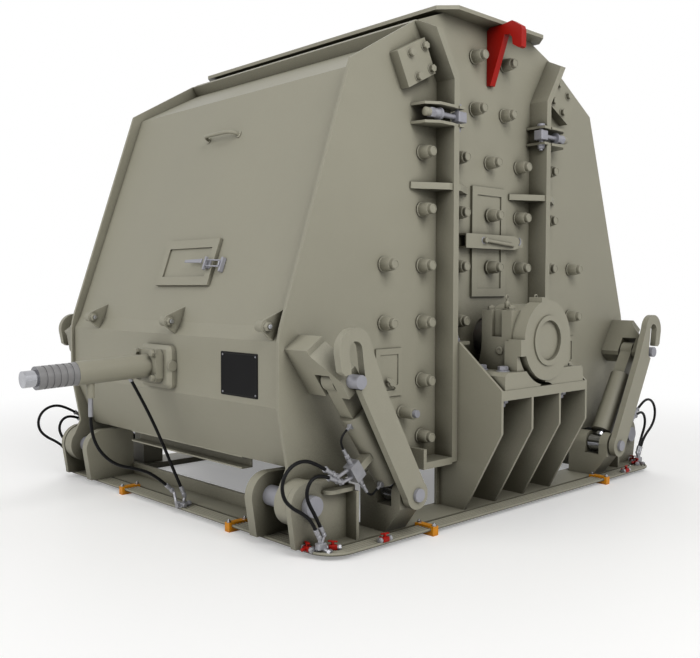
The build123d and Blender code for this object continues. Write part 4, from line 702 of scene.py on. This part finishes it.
class CRUSHER_OT_panel_fittings(bpy.types.Operator):
    """Toggle latch of the panel lid, the grab handle, the pins of the lugs and the bare plate"""
    bl_idname = "crusher.panel_fittings"
    bl_label = "Panel fittings"

    def execute(self, context):
        # Latch: base and pivot bar on the lid rim, lever, keeper on the panel, two loop wires and their end bar
        latch = [
            put(slab(rounded(0.05, 0.046, 0.006), 0.0, 0.008), on_panel(LATCH_UP, -0.289, LID), **ON_PANEL),
            put(slab(rounded(0.014, 0.078, 0.005), 0.014, 0.032, 0.002), on_panel(LATCH_UP, -0.289, LID),
                **ON_PANEL),
            put(slab([(-0.170, -0.008), (0.0, -0.012), (0.0, 0.012), (-0.170, 0.008)], 0.026, 0.034, 0.002),
                on_panel(-1.080, -0.262, LID), **ON_PANEL),
            put(slab(rounded(0.018, 0.084, 0.006), 0.0, 0.026, 0.002), on_panel(-1.092, -0.409), **ON_PANEL),
        ]
        for up in (-1.072, -1.107):
            latch.append(rod(on_panel(up, -0.296, LID + 0.022), on_panel(up, -0.404, LID + 0.010), 0.0045, 12))
        latch.append(rod(on_panel(-1.076, -0.402, LID + 0.011), on_panel(-1.103, -0.402, LID + 0.011), 0.0045, 12))
        # Handle: flat feet and a round grip on one smooth line
        grip = smooth_line([on_panel(HANDLE_UP, y, out) for y, out in GRIP])
        foot = slab(rounded(0.034, 0.040, 0.012), 0.0, 0.006)
        handle = [tube(grip, 0.0105, 14, PANEL_UP)]
        handle += [put(foot, on_panel(HANDLE_UP, y), **ON_PANEL) for y in (0.126, -0.186)]
        # Lug pins: collar behind each lug, nut in front of it, bright ends on both
        collar = turned([(0.026, 0), (0.027, 0.001), (0.027, 0.045), (0.025, 0.047)], 24)
        nut = hex_bolt(0.040, 0.020, 0.003)
        x, z = LUG_TIP
        collars, ends = [], []
        for y in LUGS_Y:
            collars.append(put(collar, (x, y + 0.009, z), out=(0, 1, 0)))
            collars += placed(nut, (x, y - 0.009, z))
            ends.append(rod((x, y + 0.05, z), (x, y + 0.068, z), 0.015))
            ends.append(rod((x, y - 0.028, z), (x, y - 0.044, z), 0.012))
        for side in SIDES:
            hood = f"hood_{side}"
            build(f"lid_latch_{side}", mirrored(latch, side, "near"), "pin_steel", hood)
            build(f"grab_handle_{side}", mirrored(handle, side, "near"), "housing_paint", hood)
            build(f"lug_collars_{side}", mirrored(collars, side, "near"), "housing_paint", hood)
            build(f"lug_pin_ends_{side}", mirrored(ends, side, "near"), "polished_chrome", hood)
        # Bare plate with a raised rim and four rivets
        plate = [put(slab(rounded(0.316, 0.226, 0.006), 0.0, 0.003, 0.0008), PLATE, **OUTWARDS)]
        for width, height, y, z in RIMS:
            plate.append(put(slab(rounded(width, height, 0.0015), 0.002, 0.0042, 0.0006), on_plate(y, z), **OUTWARDS))
        rivet = turned([(0.005, 0.0), (0.005, 0.004), (0.0035, 0.006), (0.0012, 0.0066)], 14)
        rivets = [put(rivet, on_plate(y, z), **OUTWARDS) for y, z in RIVETS]
        build("bare_plate", plate, "dark_plate", "hood_left")
        build("plate_rivets", rivets, "pin_steel", "hood_left")
        return {"FINISHED"}


# Swing bolts that hold the hoods shut
SWING_Y = -1.198
SWING_Z = 2.2425
SWING_TRUNNION = (-0.401, SWING_Y - 0.006, SWING_Z)
SWING_PIN_X = -0.411
SWING_PIN_Z = (2.150, 2.318)
SWING_COLLAR_Z = 2.301
SWING_PIN_NUT_Z = 2.184
SWING_ROD_X = (-0.438, -0.640)
SWING_NUT = (-0.560, SWING_Y, SWING_Z)
SWING_KNOB = (-0.646, SWING_Y, SWING_Z)


class CRUSHER_OT_swing_bolts(bpy.types.Operator):
    """Swing bolt of each split flange: trunnion and pin on the centre, rod, nut and knob on the hood"""
    bl_idname = "crusher.swing_bolts"
    bl_label = "Swing bolts"

    def execute(self, context):
        trunnion = [put(slab(rounded(0.070, 0.062, 0.008), -0.029, 0.029, 0.003), SWING_TRUNNION, **UPWARDS)]
        pin = [rod(*((SWING_PIN_X, SWING_Y, z) for z in SWING_PIN_Z), 0.012)]
        collar = turned([(0.022, 0), (0.024, 0.002), (0.024, 0.013), (0.021, 0.016)], 20)
        pin.append(put(collar, (SWING_PIN_X, SWING_Y, SWING_COLLAR_Z), **UPWARDS))
        pin += placed(hex_bolt(0.036, 0.018, 0.004, 0.012), (SWING_PIN_X, SWING_Y, SWING_PIN_NUT_Z), **DOWNWARDS)
        shank = [rod(*((x, SWING_Y, SWING_Z) for x in SWING_ROD_X), 0.015)]
        flange = [(0.034, 0), (0.036, 0.002), (0.036, 0.012), (0.030, 0.015), (0.027, 0.05), (0.024, 0.054)]
        nut = placed([turned(flange, 24), slab(hexagon(0.050), 0.050, 0.088, 0.003)], SWING_NUT, **OUTWARDS)
        knob = [put(turned([(0.020, 0), (0.024, 0.003), (0.024, 0.034), (0.018, 0.041), (0.008, 0.044)], 22),
                    SWING_KNOB, **OUTWARDS)]
        for side in SIDES:
            for end in ENDS:
                where = f"{end}_{side}"
                build(f"swing_trunnion_{where}", mirrored(trunnion + pin, side, end), "pin_steel", FRAME_BODY)
                build(f"swing_bolt_{where}", mirrored(shank + nut, side, end), "pin_steel", f"hood_{side}")
                build(f"swing_knob_{where}", mirrored(knob, side, end), "housing_paint", f"hood_{side}")
        return {"FINISHED"}


# Bearing fasteners and cover lock
CAP_TOP = 1.165
FOOT_TOP = 0.826
FOOT_UNDER = 0.678
SHELF_TOP = 0.985
EYE_GAP = 0.35
CAP_EYES = [(-0.135, -1.351), (0.150, -1.351)]
CAP_BOLTS = [(-0.195, -1.285), (0.02, -1.285), (0.195, -1.285), (-0.195, -1.425)]
CAP_PLUG = (-0.2375, -1.376, 0.937)
FOOT_BLOCK = (0.268, -1.500, FOOT_TOP)
FOOT_BOLTS = [(x, y) for x in (-0.290, 0.290) for y in (-1.440, -1.290)]
SHELF_BOLTS = [(x, -1.160, SHELF_TOP) for x in (-0.396, -0.350, 0.350, 0.396)]
COVER_BAR = (-0.110, 1.572)
COVER_GRIP = [(-0.110, -1.172, 1.572), (-0.060, -1.174, 1.568), (0.090, -1.176, 1.556), (0.165, -1.176, 1.550),
              (0.178, -1.157, 1.548)]
COVER_LOOP = (0.238, -1.163, 1.576)


class CRUSHER_OT_bearing_bolts(bpy.types.Operator):
    """Cap bolts, eye bolts, plug and foot bolts of the bearings, shelf bolts, grip and loop of the cover bar"""
    bl_idname = "crusher.bearing_bolts"
    bl_label = "Bearing bolts"

    def execute(self, context):
        # Open ring of an eye bolt, with its gap at the bottom
        arc = np.linspace(-0.5 * math.pi + EYE_GAP, 1.5 * math.pi - EYE_GAP, 26)
        ring = np.stack([0.0125 * np.cos(arc), 0 * arc, 0.0125 * np.sin(arc)], axis=-1)
        stem = turned([(0.026, 0), (0.026, 0.007), (0.0135, 0.008), (0.0145, 0.010), (0.0145, 0.040), (0.012, 0.045),
                       (0.006, 0.052), (0.0055, 0.062)], 20)
        caps = []
        for x, y in CAP_EYES:
            caps += [put(stem, (x, y, CAP_TOP), **UPWARDS), tube(ring + (x, y, CAP_TOP + 0.072), 0.0042, 10)]
        for x, y in CAP_BOLTS:
            caps += placed(hex_bolt(0.036, 0.016, 0.006, 0.006), (x, y, CAP_TOP), **UPWARDS)
        plug = turned([(0.023, -0.01), (0.023, 0.003), (0.020, 0.005), (0.012, 0.005), (0.012, 0.002)], 22)
        caps.append(put(plug, CAP_PLUG, **OUTWARDS))
        caps.append(put(slab(rounded(0.050, 0.030, 0.004), 0.0, 0.022, 0.003), FOOT_BLOCK, **UPWARDS))
        foot_head = hex_bolt(0.052, 0.024, 0.005)
        foot_nut = hex_bolt(0.052, 0.026, 0.004, 0.020)
        shelf = hex_bolt(0.026, 0.015, 0.003, 0.016)
        steel = []
        for x, y in FOOT_BOLTS:
            steel += placed(foot_head, (x, y, FOOT_TOP), **UPWARDS)
            steel += placed(foot_nut, (x, y, FOOT_UNDER), **DOWNWARDS)
        for place in SHELF_BOLTS:
            steel += placed(shelf, place, **UPWARDS)
        # Cover bar: a washer under the painted knob, a grip that leads to the right, and a wire loop at the end
        x, z = COVER_BAR
        turn = np.linspace(-0.5 * math.pi, 0.5 * math.pi, 20)
        bow = np.stack([0.016 * np.cos(turn), 0 * turn, 0.021 * np.sin(turn)], axis=-1)
        loop = [rod((x, -1.156, z), (x, -1.163, z), 0.021, 22), tube(bow + COVER_LOOP, 0.004, 10)]
        grip = [rod((x, -1.158, z), (x, -1.186, z), 0.016, 20), tube(smooth_line(COVER_GRIP), 0.0105, 14, (0, 0, 1))]
        for end in ENDS:
            build(f"bearing_caps_{end}", mirrored(caps, "left", end), "housing_paint", FRAME_BODY)
            build(f"bearing_foot_bolts_{end}", mirrored(steel, "left", end), "pin_steel", FRAME_BODY)
            build(f"cover_bar_loop_{end}", mirrored(loop, "left", end), "pin_steel", FRAME_BODY)
            build(f"cover_bar_grip_{end}", mirrored(grip, "left", end), "housing_paint", FRAME_BODY)
        return {"FINISHED"}


# Hydraulic fittings
HOOD_PIN = (-1.410, 0.850)
BARREL_AXIS = (0.5657, -0.8246)
HOSE_PLANE_Y = -1.300


def by_barrel(along, beside):
    """Point in the plane of the hoses: along the barrel axis from the hood pin, and beside it away from the
    centre."""
    x = HOOD_PIN[0] + along * BARREL_AXIS[0] + beside * BARREL_AXIS[1]
    z = HOOD_PIN[1] + along * BARREL_AXIS[1] - beside * BARREL_AXIS[0]
    return (x, HOSE_PLANE_Y, z)


PIPE_NUT = 0.028
# Places and directions of the shut-off valves on the pipes near the corner
VALVES = [((-1.556, -1.240, 0.046), (0, 1, 0)), ((-1.462, -1.318, 0.050), (0.75, -0.6, 0)),
          ((-1.180, -1.392, 0.048), (1, 0, 0))]
FOOT_BLOCK_PLACE = (-1.522, HOSE_PLANE_Y, 0.064)
STUB_PIPES = [((-1.533, -1.300, 0.052), (-1.533, -1.250, 0.040)), ((-1.513, -1.300, 0.052), (-1.505, -1.345, 0.040))]
CROSS_PLACE = (-1.545, -0.130, 0.052)
FEED_PIPE = (-1.553, -0.080, 0.052)
RETURN_PIPE = (-1.505, -0.088, 0.050)


def end_of(route):
    """Last point of a route and the direction in which the route leaves there."""
    last, before = Vector(route[-1]), Vector(route[-2])
    return last, (last - before).normalized()


def nut_at(place, along, across=PIPE_NUT, half=0.008, up=(0, 0, 1)):
    """Plain hexagon nut round a pipe: its middle, the direction of the pipe and half its thickness."""
    return put(slab(hexagon(across), -half, half, 0.001), place, along, up)


class CRUSHER_OT_fittings(bpy.types.Operator):
    """Ferrules, elbows, banjo fittings, the foot fittings of the hoses and the red shut-off valves"""
    bl_idname = "crusher.fittings"
    bl_label = "Hydraulic fittings"

    def on_barrel(self):
        """Ends of the thin hoses on the valve block and the barrel, and the nuts of the corner hoses there."""
        shapes = []
        banjo = turned([(0.014, -0.012), (0.016, -0.010), (0.016, 0.010), (0.014, 0.012)], 18)
        for route, block_end in ((PILOT_ROUTE, by_barrel(0.388, 0.167)), (DRAIN_ROUTE, by_barrel(0.492, 0.167))):
            first, along = end_of(route[::-1])
            shapes.append(rod(first - 0.012 * along, first + 0.026 * along, 0.0085, 14))
            shapes.append(put(slab(hexagon(0.022), 0.020, 0.034, 0.001), first, along, (0, 1, 0)))
            shapes.append(rod(first + 0.03 * along, block_end, 0.0075, 12))
            last, along = end_of(route)
            shapes.append(rod(last - 0.012 * along, last + 0.014 * along, 0.0085, 14))
            shapes.append(put(banjo, last + 0.02 * along, (0, -1, 0)))
        for route in (OUTER_ROUTE, INNER_ROUTE):
            first, along = end_of(route[::-1])
            shapes += [nut_at(first + at * along, along, 0.030, 0.006, (0, 1, 0)) for at in (0.004, 0.060, 0.088)]
        return shapes

    def over_base(self):
        """Foot of the corner hoses: ferrules, then one block over the pipes with two stub pipes."""
        shapes = []
        block = Vector(FOOT_BLOCK_PLACE)
        for route in (OUTER_ROUTE, INNER_ROUTE):
            last, along = end_of(route)
            foot = block + Vector((0.25 * (last.x - block.x), 0, 0.006))
            shapes.append(rod(last + 0.036 * along, foot, 0.009, 12))
        shapes.append(put(slab(rounded(0.052, 0.034, 0.006), -0.016, 0.016, 0.003), block, **UPWARDS))
        for start, end in STUB_PIPES:
            shapes += [rod(start, end, 0.011, 14), nut_at(end, Vector(start) - Vector(end))]
        return shapes

    def valves(self):
        """Steel bodies with two nuts each, and red caps with a stem, a side plug and a lever."""
        bodies, caps = [], []
        for place, along in VALVES:
            place, along = Vector(place), Vector(along).normalized()
            across = Vector((0, 0, 1)).cross(along)
            bodies.append(rod(place - 0.042 * along, place + 0.042 * along, 0.0115, 14))
            bodies += [nut_at(place + at * along, along, half=0.007) for at in (-0.034, 0.034)]
            caps.append(put(slab(rounded(0.046, 0.030, 0.008), -0.013, 0.013, 0.004), place, (0, 0, 1), across))
            caps.append(rod(place + Vector((0, 0, 0.006)), place + Vector((0, 0, 0.030)), 0.008, 14))
            caps.append(rod(place + 0.012 * across, place + 0.036 * across, 0.009, 14))
            caps.append(put(slab(rounded(0.048, 0.013, 0.005), 0.026, 0.032, 0.0015), place, (0, 0, 1),
                            across + 0.3 * along))
        return bodies, caps

    def cross(self):
        """Foot of the adjuster hoses: two bent ferrules and a cross piece on the pipes."""
        shapes = []
        middle = Vector(CROSS_PLACE)
        for route, pipe in ((FEED_ROUTE, FEED_PIPE), (RETURN_ROUTE, RETURN_PIPE)):
            last, along = end_of(route)
            bend = smooth_line([last + 0.03 * along, last + 0.055 * along, Vector(pipe) + Vector((0, 0.004, 0.02)),
                                Vector(pipe)])
            shapes.append(tube(bend, 0.0085, 12, (0.6, 0.8, 0)))
            shapes.append(nut_at(last + 0.036 * along, along, 0.026, up=(0, 1, 0)))
            shapes.append(rod(pipe, middle, 0.009, 12))
        shapes.append(rod(middle - Vector((0, 0.035, 0)), middle + Vector((0, 0.06, 0)), 0.0125, 16))
        shapes.append(rod(middle - Vector((0.03, 0, 0)), middle + Vector((0.048, 0, 0)), 0.0115, 16))
        shapes += [nut_at(middle + Vector((x, 0, 0)), (1, 0, 0)) for x in (-0.030, 0.048)]
        hub = turned([(0.016, -0.02), (0.018, -0.018), (0.018, 0.008), (0.014, 0.012)], 18)
        return [*shapes, put(hub, middle, **UPWARDS)]

    def execute(self, context):
        on_barrel, over_base, cross = self.on_barrel(), self.over_base(), self.cross()
        bodies, valves = self.valves()
        for side in SIDES:
            for end in ENDS:
                where = f"{end}_{side}"
                build(f"barrel_fittings_{where}", mirrored(on_barrel, side, end), "fitting_steel",
                      f"lift_barrel_{where}")
                build(f"corner_fittings_{where}", mirrored(over_base, side, end), "fitting_steel", FRAME_BODY)
                if end == "near" or side == "left":
                    build(f"valve_bodies_{where}", mirrored(bodies, side, end), "fitting_steel", FRAME_BODY)
                    build(f"valve_caps_{where}", mirrored(valves, side, end), "red_enamel", FRAME_BODY)
            build(f"cross_fitting_{side}", mirrored(cross, side, "near"), "fitting_steel", FRAME_BODY)
        return {"FINISHED"}


# Clamp bolts
CLAMP_TOP = 0.050
CLAMP_BOLTS = [(sign * x, y) for x in (-1.461, -1.564) for y in (-0.614, 0.520) for sign in (1, -1)]
FRONT_CLAMP_BOLTS = [(x, y) for x in (-0.828, 0.896) for y in (-1.303, -1.407)]


class CRUSHER_OT_clamp_bolts(bpy.types.Operator):
    """Bright bolts on the orange pipe clamps"""
    bl_idname = "crusher.clamp_bolts"
    bl_label = "Clamp bolts"

    def execute(self, context):
        bolt = hex_bolt(0.019, 0.009, 0.002, 0.006)
        shapes = []
        for x, y in CLAMP_BOLTS + FRONT_CLAMP_BOLTS:
            shapes += placed(bolt, (x, y, CLAMP_TOP), **UPWARDS)
        build("clamp_bolts", shapes, "polished_chrome", FRAME_BODY)
        return {"FINISHED"}


# Finishes of the frame
PIN_R = 0.0345
HINGE_PIN_R = 0.0525
HINGE_PIN = (-1.515, 0.240)
BASE_PIN = (-0.997, 0.248)
ADJUSTER_START = (-1.594, 0.853)
ADJUSTER_BODY = 0.524
ADJUSTER_RIBS = 0.218
ADJUSTER_TILT = math.radians(2.4)
# Slack that counts a face on a seam of the adjusting cylinder to the section past it
SEAM = 0.001
VALVE_BLOCK_BESIDE = 0.128
# Ferrules of the adjuster hoses: highest z, then lowest and highest x
FEED_FERRULE = (0.6945, -3.0, -1.9)
RETURN_FERRULE = (0.79, -1.83, -1.75)
FINISH_OF = {"rotor_body": "wear_plate", "blow_bars": "wear_plate", "upper_apron": "wear_plate",
             "lower_apron": "wear_plate", "lifting_hooks": "red_enamel", "pipe_clamps": "orange_clamp",
             "hose_": "hose_cover", "lift_rod": "polished_chrome", "adjuster_rod": "polished_chrome"}


def face_corners(node, side, end):
    """Corners of a node's triangles (face, corner, axis), mirrored back to the near left corner."""
    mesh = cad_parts[node].data
    points = np.empty(3 * len(mesh.vertices))
    mesh.vertices.foreach_get("co", points)
    index = np.empty(len(mesh.loops), np.int32)
    mesh.loops.foreach_get("vertex_index", index)
    corners = points.reshape(-1, 3)[index].reshape(-1, 3, 3)
    return corners * np.array([SIDES[side], ENDS[end], 1.0])


def coat(node, base, *others):
    """Base finish for the node, and for each (finish, mask) pair that finish on the faces of the mask."""
    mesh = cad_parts[node].data
    mesh.materials.clear()
    mesh.materials.append(finish(base))
    chosen = np.zeros(len(mesh.polygons), np.int32)
    for number, (name, mask) in enumerate(others, 1):
        mesh.materials.append(finish(name))
        chosen[mask] = number
    mesh.polygons.foreach_set("material_index", chosen)


def near_axis(corners, axis, radius):
    """Faces with all their corners within the radius of an axis along y."""
    return (np.hypot(corners[..., 0] - axis[0], corners[..., 2] - axis[1]) < radius).all(axis=1)


class CRUSHER_OT_finishes(bpy.types.Operator):
    """Give every node of the frame its paint or metal, and the pins, valve blocks and rods their own"""
    bl_idname = "crusher.finishes"
    bl_label = "Finishes"

    def execute(self, context):
        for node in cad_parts:
            coat(node, next((chosen for start, chosen in FINISH_OF.items() if node.startswith(start)),
                            "housing_paint"))
        for side in SIDES:
            for end in ENDS:
                where = f"{end}_{side}"
                corners = face_corners(f"hood_bracket_{where}", side, end)
                coat(f"hood_bracket_{where}", "housing_paint", ("pin_steel", near_axis(corners, HOOD_PIN, PIN_R)))
                corners = face_corners(f"corner_bracket_{where}", side, end)
                pins = near_axis(corners, BASE_PIN, PIN_R) | near_axis(corners, HINGE_PIN, HINGE_PIN_R)
                coat(f"corner_bracket_{where}", "housing_paint", ("pin_steel", pins))
                corners = face_corners(f"lift_barrel_{where}", side, end)
                x, z = corners[..., 0] - HOOD_PIN[0], corners[..., 2] - HOOD_PIN[1]
                beside = x * BARREL_AXIS[1] - z * BARREL_AXIS[0]
                valve = (beside > VALVE_BLOCK_BESIDE).all(axis=1)
                coat(f"lift_barrel_{where}", "housing_paint", ("fitting_steel", valve))
            corners = face_corners(f"adjuster_body_{side}", side, "near")
            along = -(corners[..., 0] - ADJUSTER_START[0]) * math.cos(ADJUSTER_TILT) - (
                corners[..., 2] - ADJUSTER_START[1]) * math.sin(ADJUSTER_TILT)
            tip = (along > ADJUSTER_BODY + ADJUSTER_RIBS - SEAM).all(axis=1)
            ribs = (along > ADJUSTER_BODY - SEAM).all(axis=1) & ~tip
            x, z = corners[..., 0], corners[..., 2]
            ferrules = np.any([((z < top) & (x > low) & (x < high)).all(axis=1)
                               for top, low, high in (FEED_FERRULE, RETURN_FERRULE)], axis=0)
            coat(f"adjuster_body_{side}", "housing_paint", ("grey_enamel", ribs), ("dull_tip", tip),
                 ("fitting_steel", ferrules))
        return {"FINISHED"}


# Camera, lamps and floor
CAMERA_PLACE = (-4.2054, -4.3280, 1.290)
CAMERA_RIGHT = (0.7255, -0.6882, 0.0012)
CAMERA_AHEAD = (0.6875, 0.7246, -0.0476)
LAMPS = {"key": (-2.5, -7.5, 6.5), "fill": (-8.0, 1.0, 4.5), "rear": (7.0, 7.0, 4.5)}
LAMP_WIDTH = 5.0
LAMP_TARGET = (0, 0, 1.2)
FLOOR_HALF = 30.0
FLOOR_TONE = (0.82, 0.815, 0.805, 1)
FLOOR_GLOW = 0.25
FLOOR_FADE = {"From_Min": 2.2, "From_Max": 6.0}


class CRUSHER_OT_stage(bpy.types.Operator):
    """Make the camera of the photograph, soft studio light and a pale floor"""
    bl_idname = "crusher.stage"
    bl_label = "Stage"

    def camera(self, scene, lens):
        """Camera at the place and with the turn that were fitted to the photograph."""
        camera = bpy.data.objects.new("camera", bpy.data.cameras.new("camera"))
        scene.collection.objects.link(camera)
        camera.data.lens = lens
        camera.data.sensor_width = 36.0
        camera.data.clip_end = 100.0
        right, ahead = Vector(CAMERA_RIGHT), Vector(CAMERA_AHEAD)
        camera.matrix_world = Matrix.Translation(CAMERA_PLACE) @ Matrix(
            (right, right.cross(ahead), -ahead)).transposed().to_4x4()
        scene.camera = camera

    def sky(self, scene, strength):
        """Even light for the machine; the camera sees white behind it."""
        scene.world = bpy.data.worlds.new("studio")
        scene.world.use_nodes = True
        tree = scene.world.node_tree
        tree.nodes.clear()
        even = add_node(tree, "ShaderNodeBackground", Color=WHITE, Strength=strength)
        white = add_node(tree, "ShaderNodeBackground", Color=WHITE, Strength=1.0)
        join(tree, blended(tree, shown_white(tree), even, white), 0, add_node(tree, "ShaderNodeOutputWorld"), 0)

    def lamps(self, scene, stage):
        """Square lamps that all look at the middle of the machine."""
        for name, place in LAMPS.items():
            lamp = bpy.data.objects.new(name, bpy.data.lights.new(name, "AREA"))
            lamp.data.energy = getattr(stage, name)
            lamp.data.size = LAMP_WIDTH
            scene.collection.objects.link(lamp)
            lamp.location = place
            lamp.rotation_mode = "QUATERNION"
            lamp.rotation_quaternion = (Vector(LAMP_TARGET) - Vector(place)).to_track_quat("-Z", "Y")

    def floor_coat(self):
        """Pale floor that glows a little for the camera and turns into the white behind it away from the machine."""
        material = bpy.data.materials.new("pale_floor")
        material.use_nodes = True
        tree = material.node_tree
        shader = tree.nodes["Principled BSDF"]
        shader.inputs["Base Color"].default_value = FLOOR_TONE
        shader.inputs["Roughness"].default_value = 0.55
        shown = shown_white(tree)
        shine = add_node(tree, "ShaderNodeEmission")
        join(tree, *arithmetic(tree, "MULTIPLY", shown, FLOOR_GLOW), shine, "Strength")
        both = add_node(tree, "ShaderNodeAddShader")
        join(tree, shader, 0, both, 0)
        join(tree, shine, 0, both, 1)
        distance = add_node(tree, "ShaderNodeVectorMath", operation="LENGTH")
        join(tree, add_node(tree, "ShaderNodeTexCoord"), "Object", distance, 0)
        fade = mapped(tree, (distance, "Value"), interpolation_type="SMOOTHSTEP", **FLOOR_FADE)
        blank = add_node(tree, "ShaderNodeEmission", Color=WHITE, Strength=1.0)
        result = blended(tree, arithmetic(tree, "MULTIPLY", (fade, "Result"), shown), both, blank)
        join(tree, result, 0, tree.nodes["Material Output"], 0)
        return material

    def execute(self, context):
        scene, stage = context.scene, context.scene.crusher_stage
        scene.view_settings.view_transform = "Standard"
        self.camera(scene, stage.lens)
        self.sky(scene, stage.sky)
        self.lamps(scene, stage)
        # The floor is a sheet z = 0 over a square
        corners = FLOOR_HALF * np.array([(-1, -1, 0), (1, -1, 0), (1, 1, 0), (-1, 1, 0)], float)
        mesh = bpy.data.meshes.new("floor")
        mesh.from_pydata(corners, [], [(0, 1, 2, 3)])
        mesh.materials.append(self.floor_coat())
        floor = bpy.data.objects.new("floor", mesh)
        scene.collection.objects.link(floor)
        return {"FINISHED"}


class CRUSHER_PT_panel(bpy.types.Panel):
    bl_idname = "CRUSHER_PT_panel"
    bl_label = "Impact crusher"
    bl_space_type = "VIEW_3D"
    bl_region_type = "UI"
    bl_category = "Crusher"

    def draw(self, context):
        layout = self.layout
        for settings in (getattr(context.scene, name) for name in SETTINGS):
            for key in settings.__annotations__:
                layout.prop(settings, key)
        for operator in OPERATORS:
            layout.operator(operator.bl_idname)


SETTINGS = {"crusher_finish": CrusherFinish, "crusher_stage": CrusherStage, "crusher_hoses": CrusherHoses,
            "crusher_bolts": CrusherBolts}
OPERATORS = (CRUSHER_OT_stage, CRUSHER_OT_hoses, CRUSHER_OT_liner_nuts, CRUSHER_OT_hood_bolts,
             CRUSHER_OT_panel_fittings, CRUSHER_OT_swing_bolts, CRUSHER_OT_bearing_bolts, CRUSHER_OT_fittings,
             CRUSHER_OT_clamp_bolts, CRUSHER_OT_finishes)


def register():
    for item in (*SETTINGS.values(), *OPERATORS, CRUSHER_PT_panel):
        bpy.utils.register_class(item)
    for name, item in SETTINGS.items():
        setattr(bpy.types.Scene, name, bpy.props.PointerProperty(type=item))


def unregister():
    for name in SETTINGS:
        delattr(bpy.types.Scene, name)
    for item in (CRUSHER_PT_panel, *reversed(OPERATORS), *reversed(SETTINGS.values())):
        bpy.utils.unregister_class(item)


def main():
    register()
    fill_finishes(bpy.context.scene.crusher_finish)
    for operator in OPERATORS:
        group, name = operator.bl_idname.split(".")
        getattr(getattr(bpy.ops, group), name)()


if __name__ == "__main__":
    main()
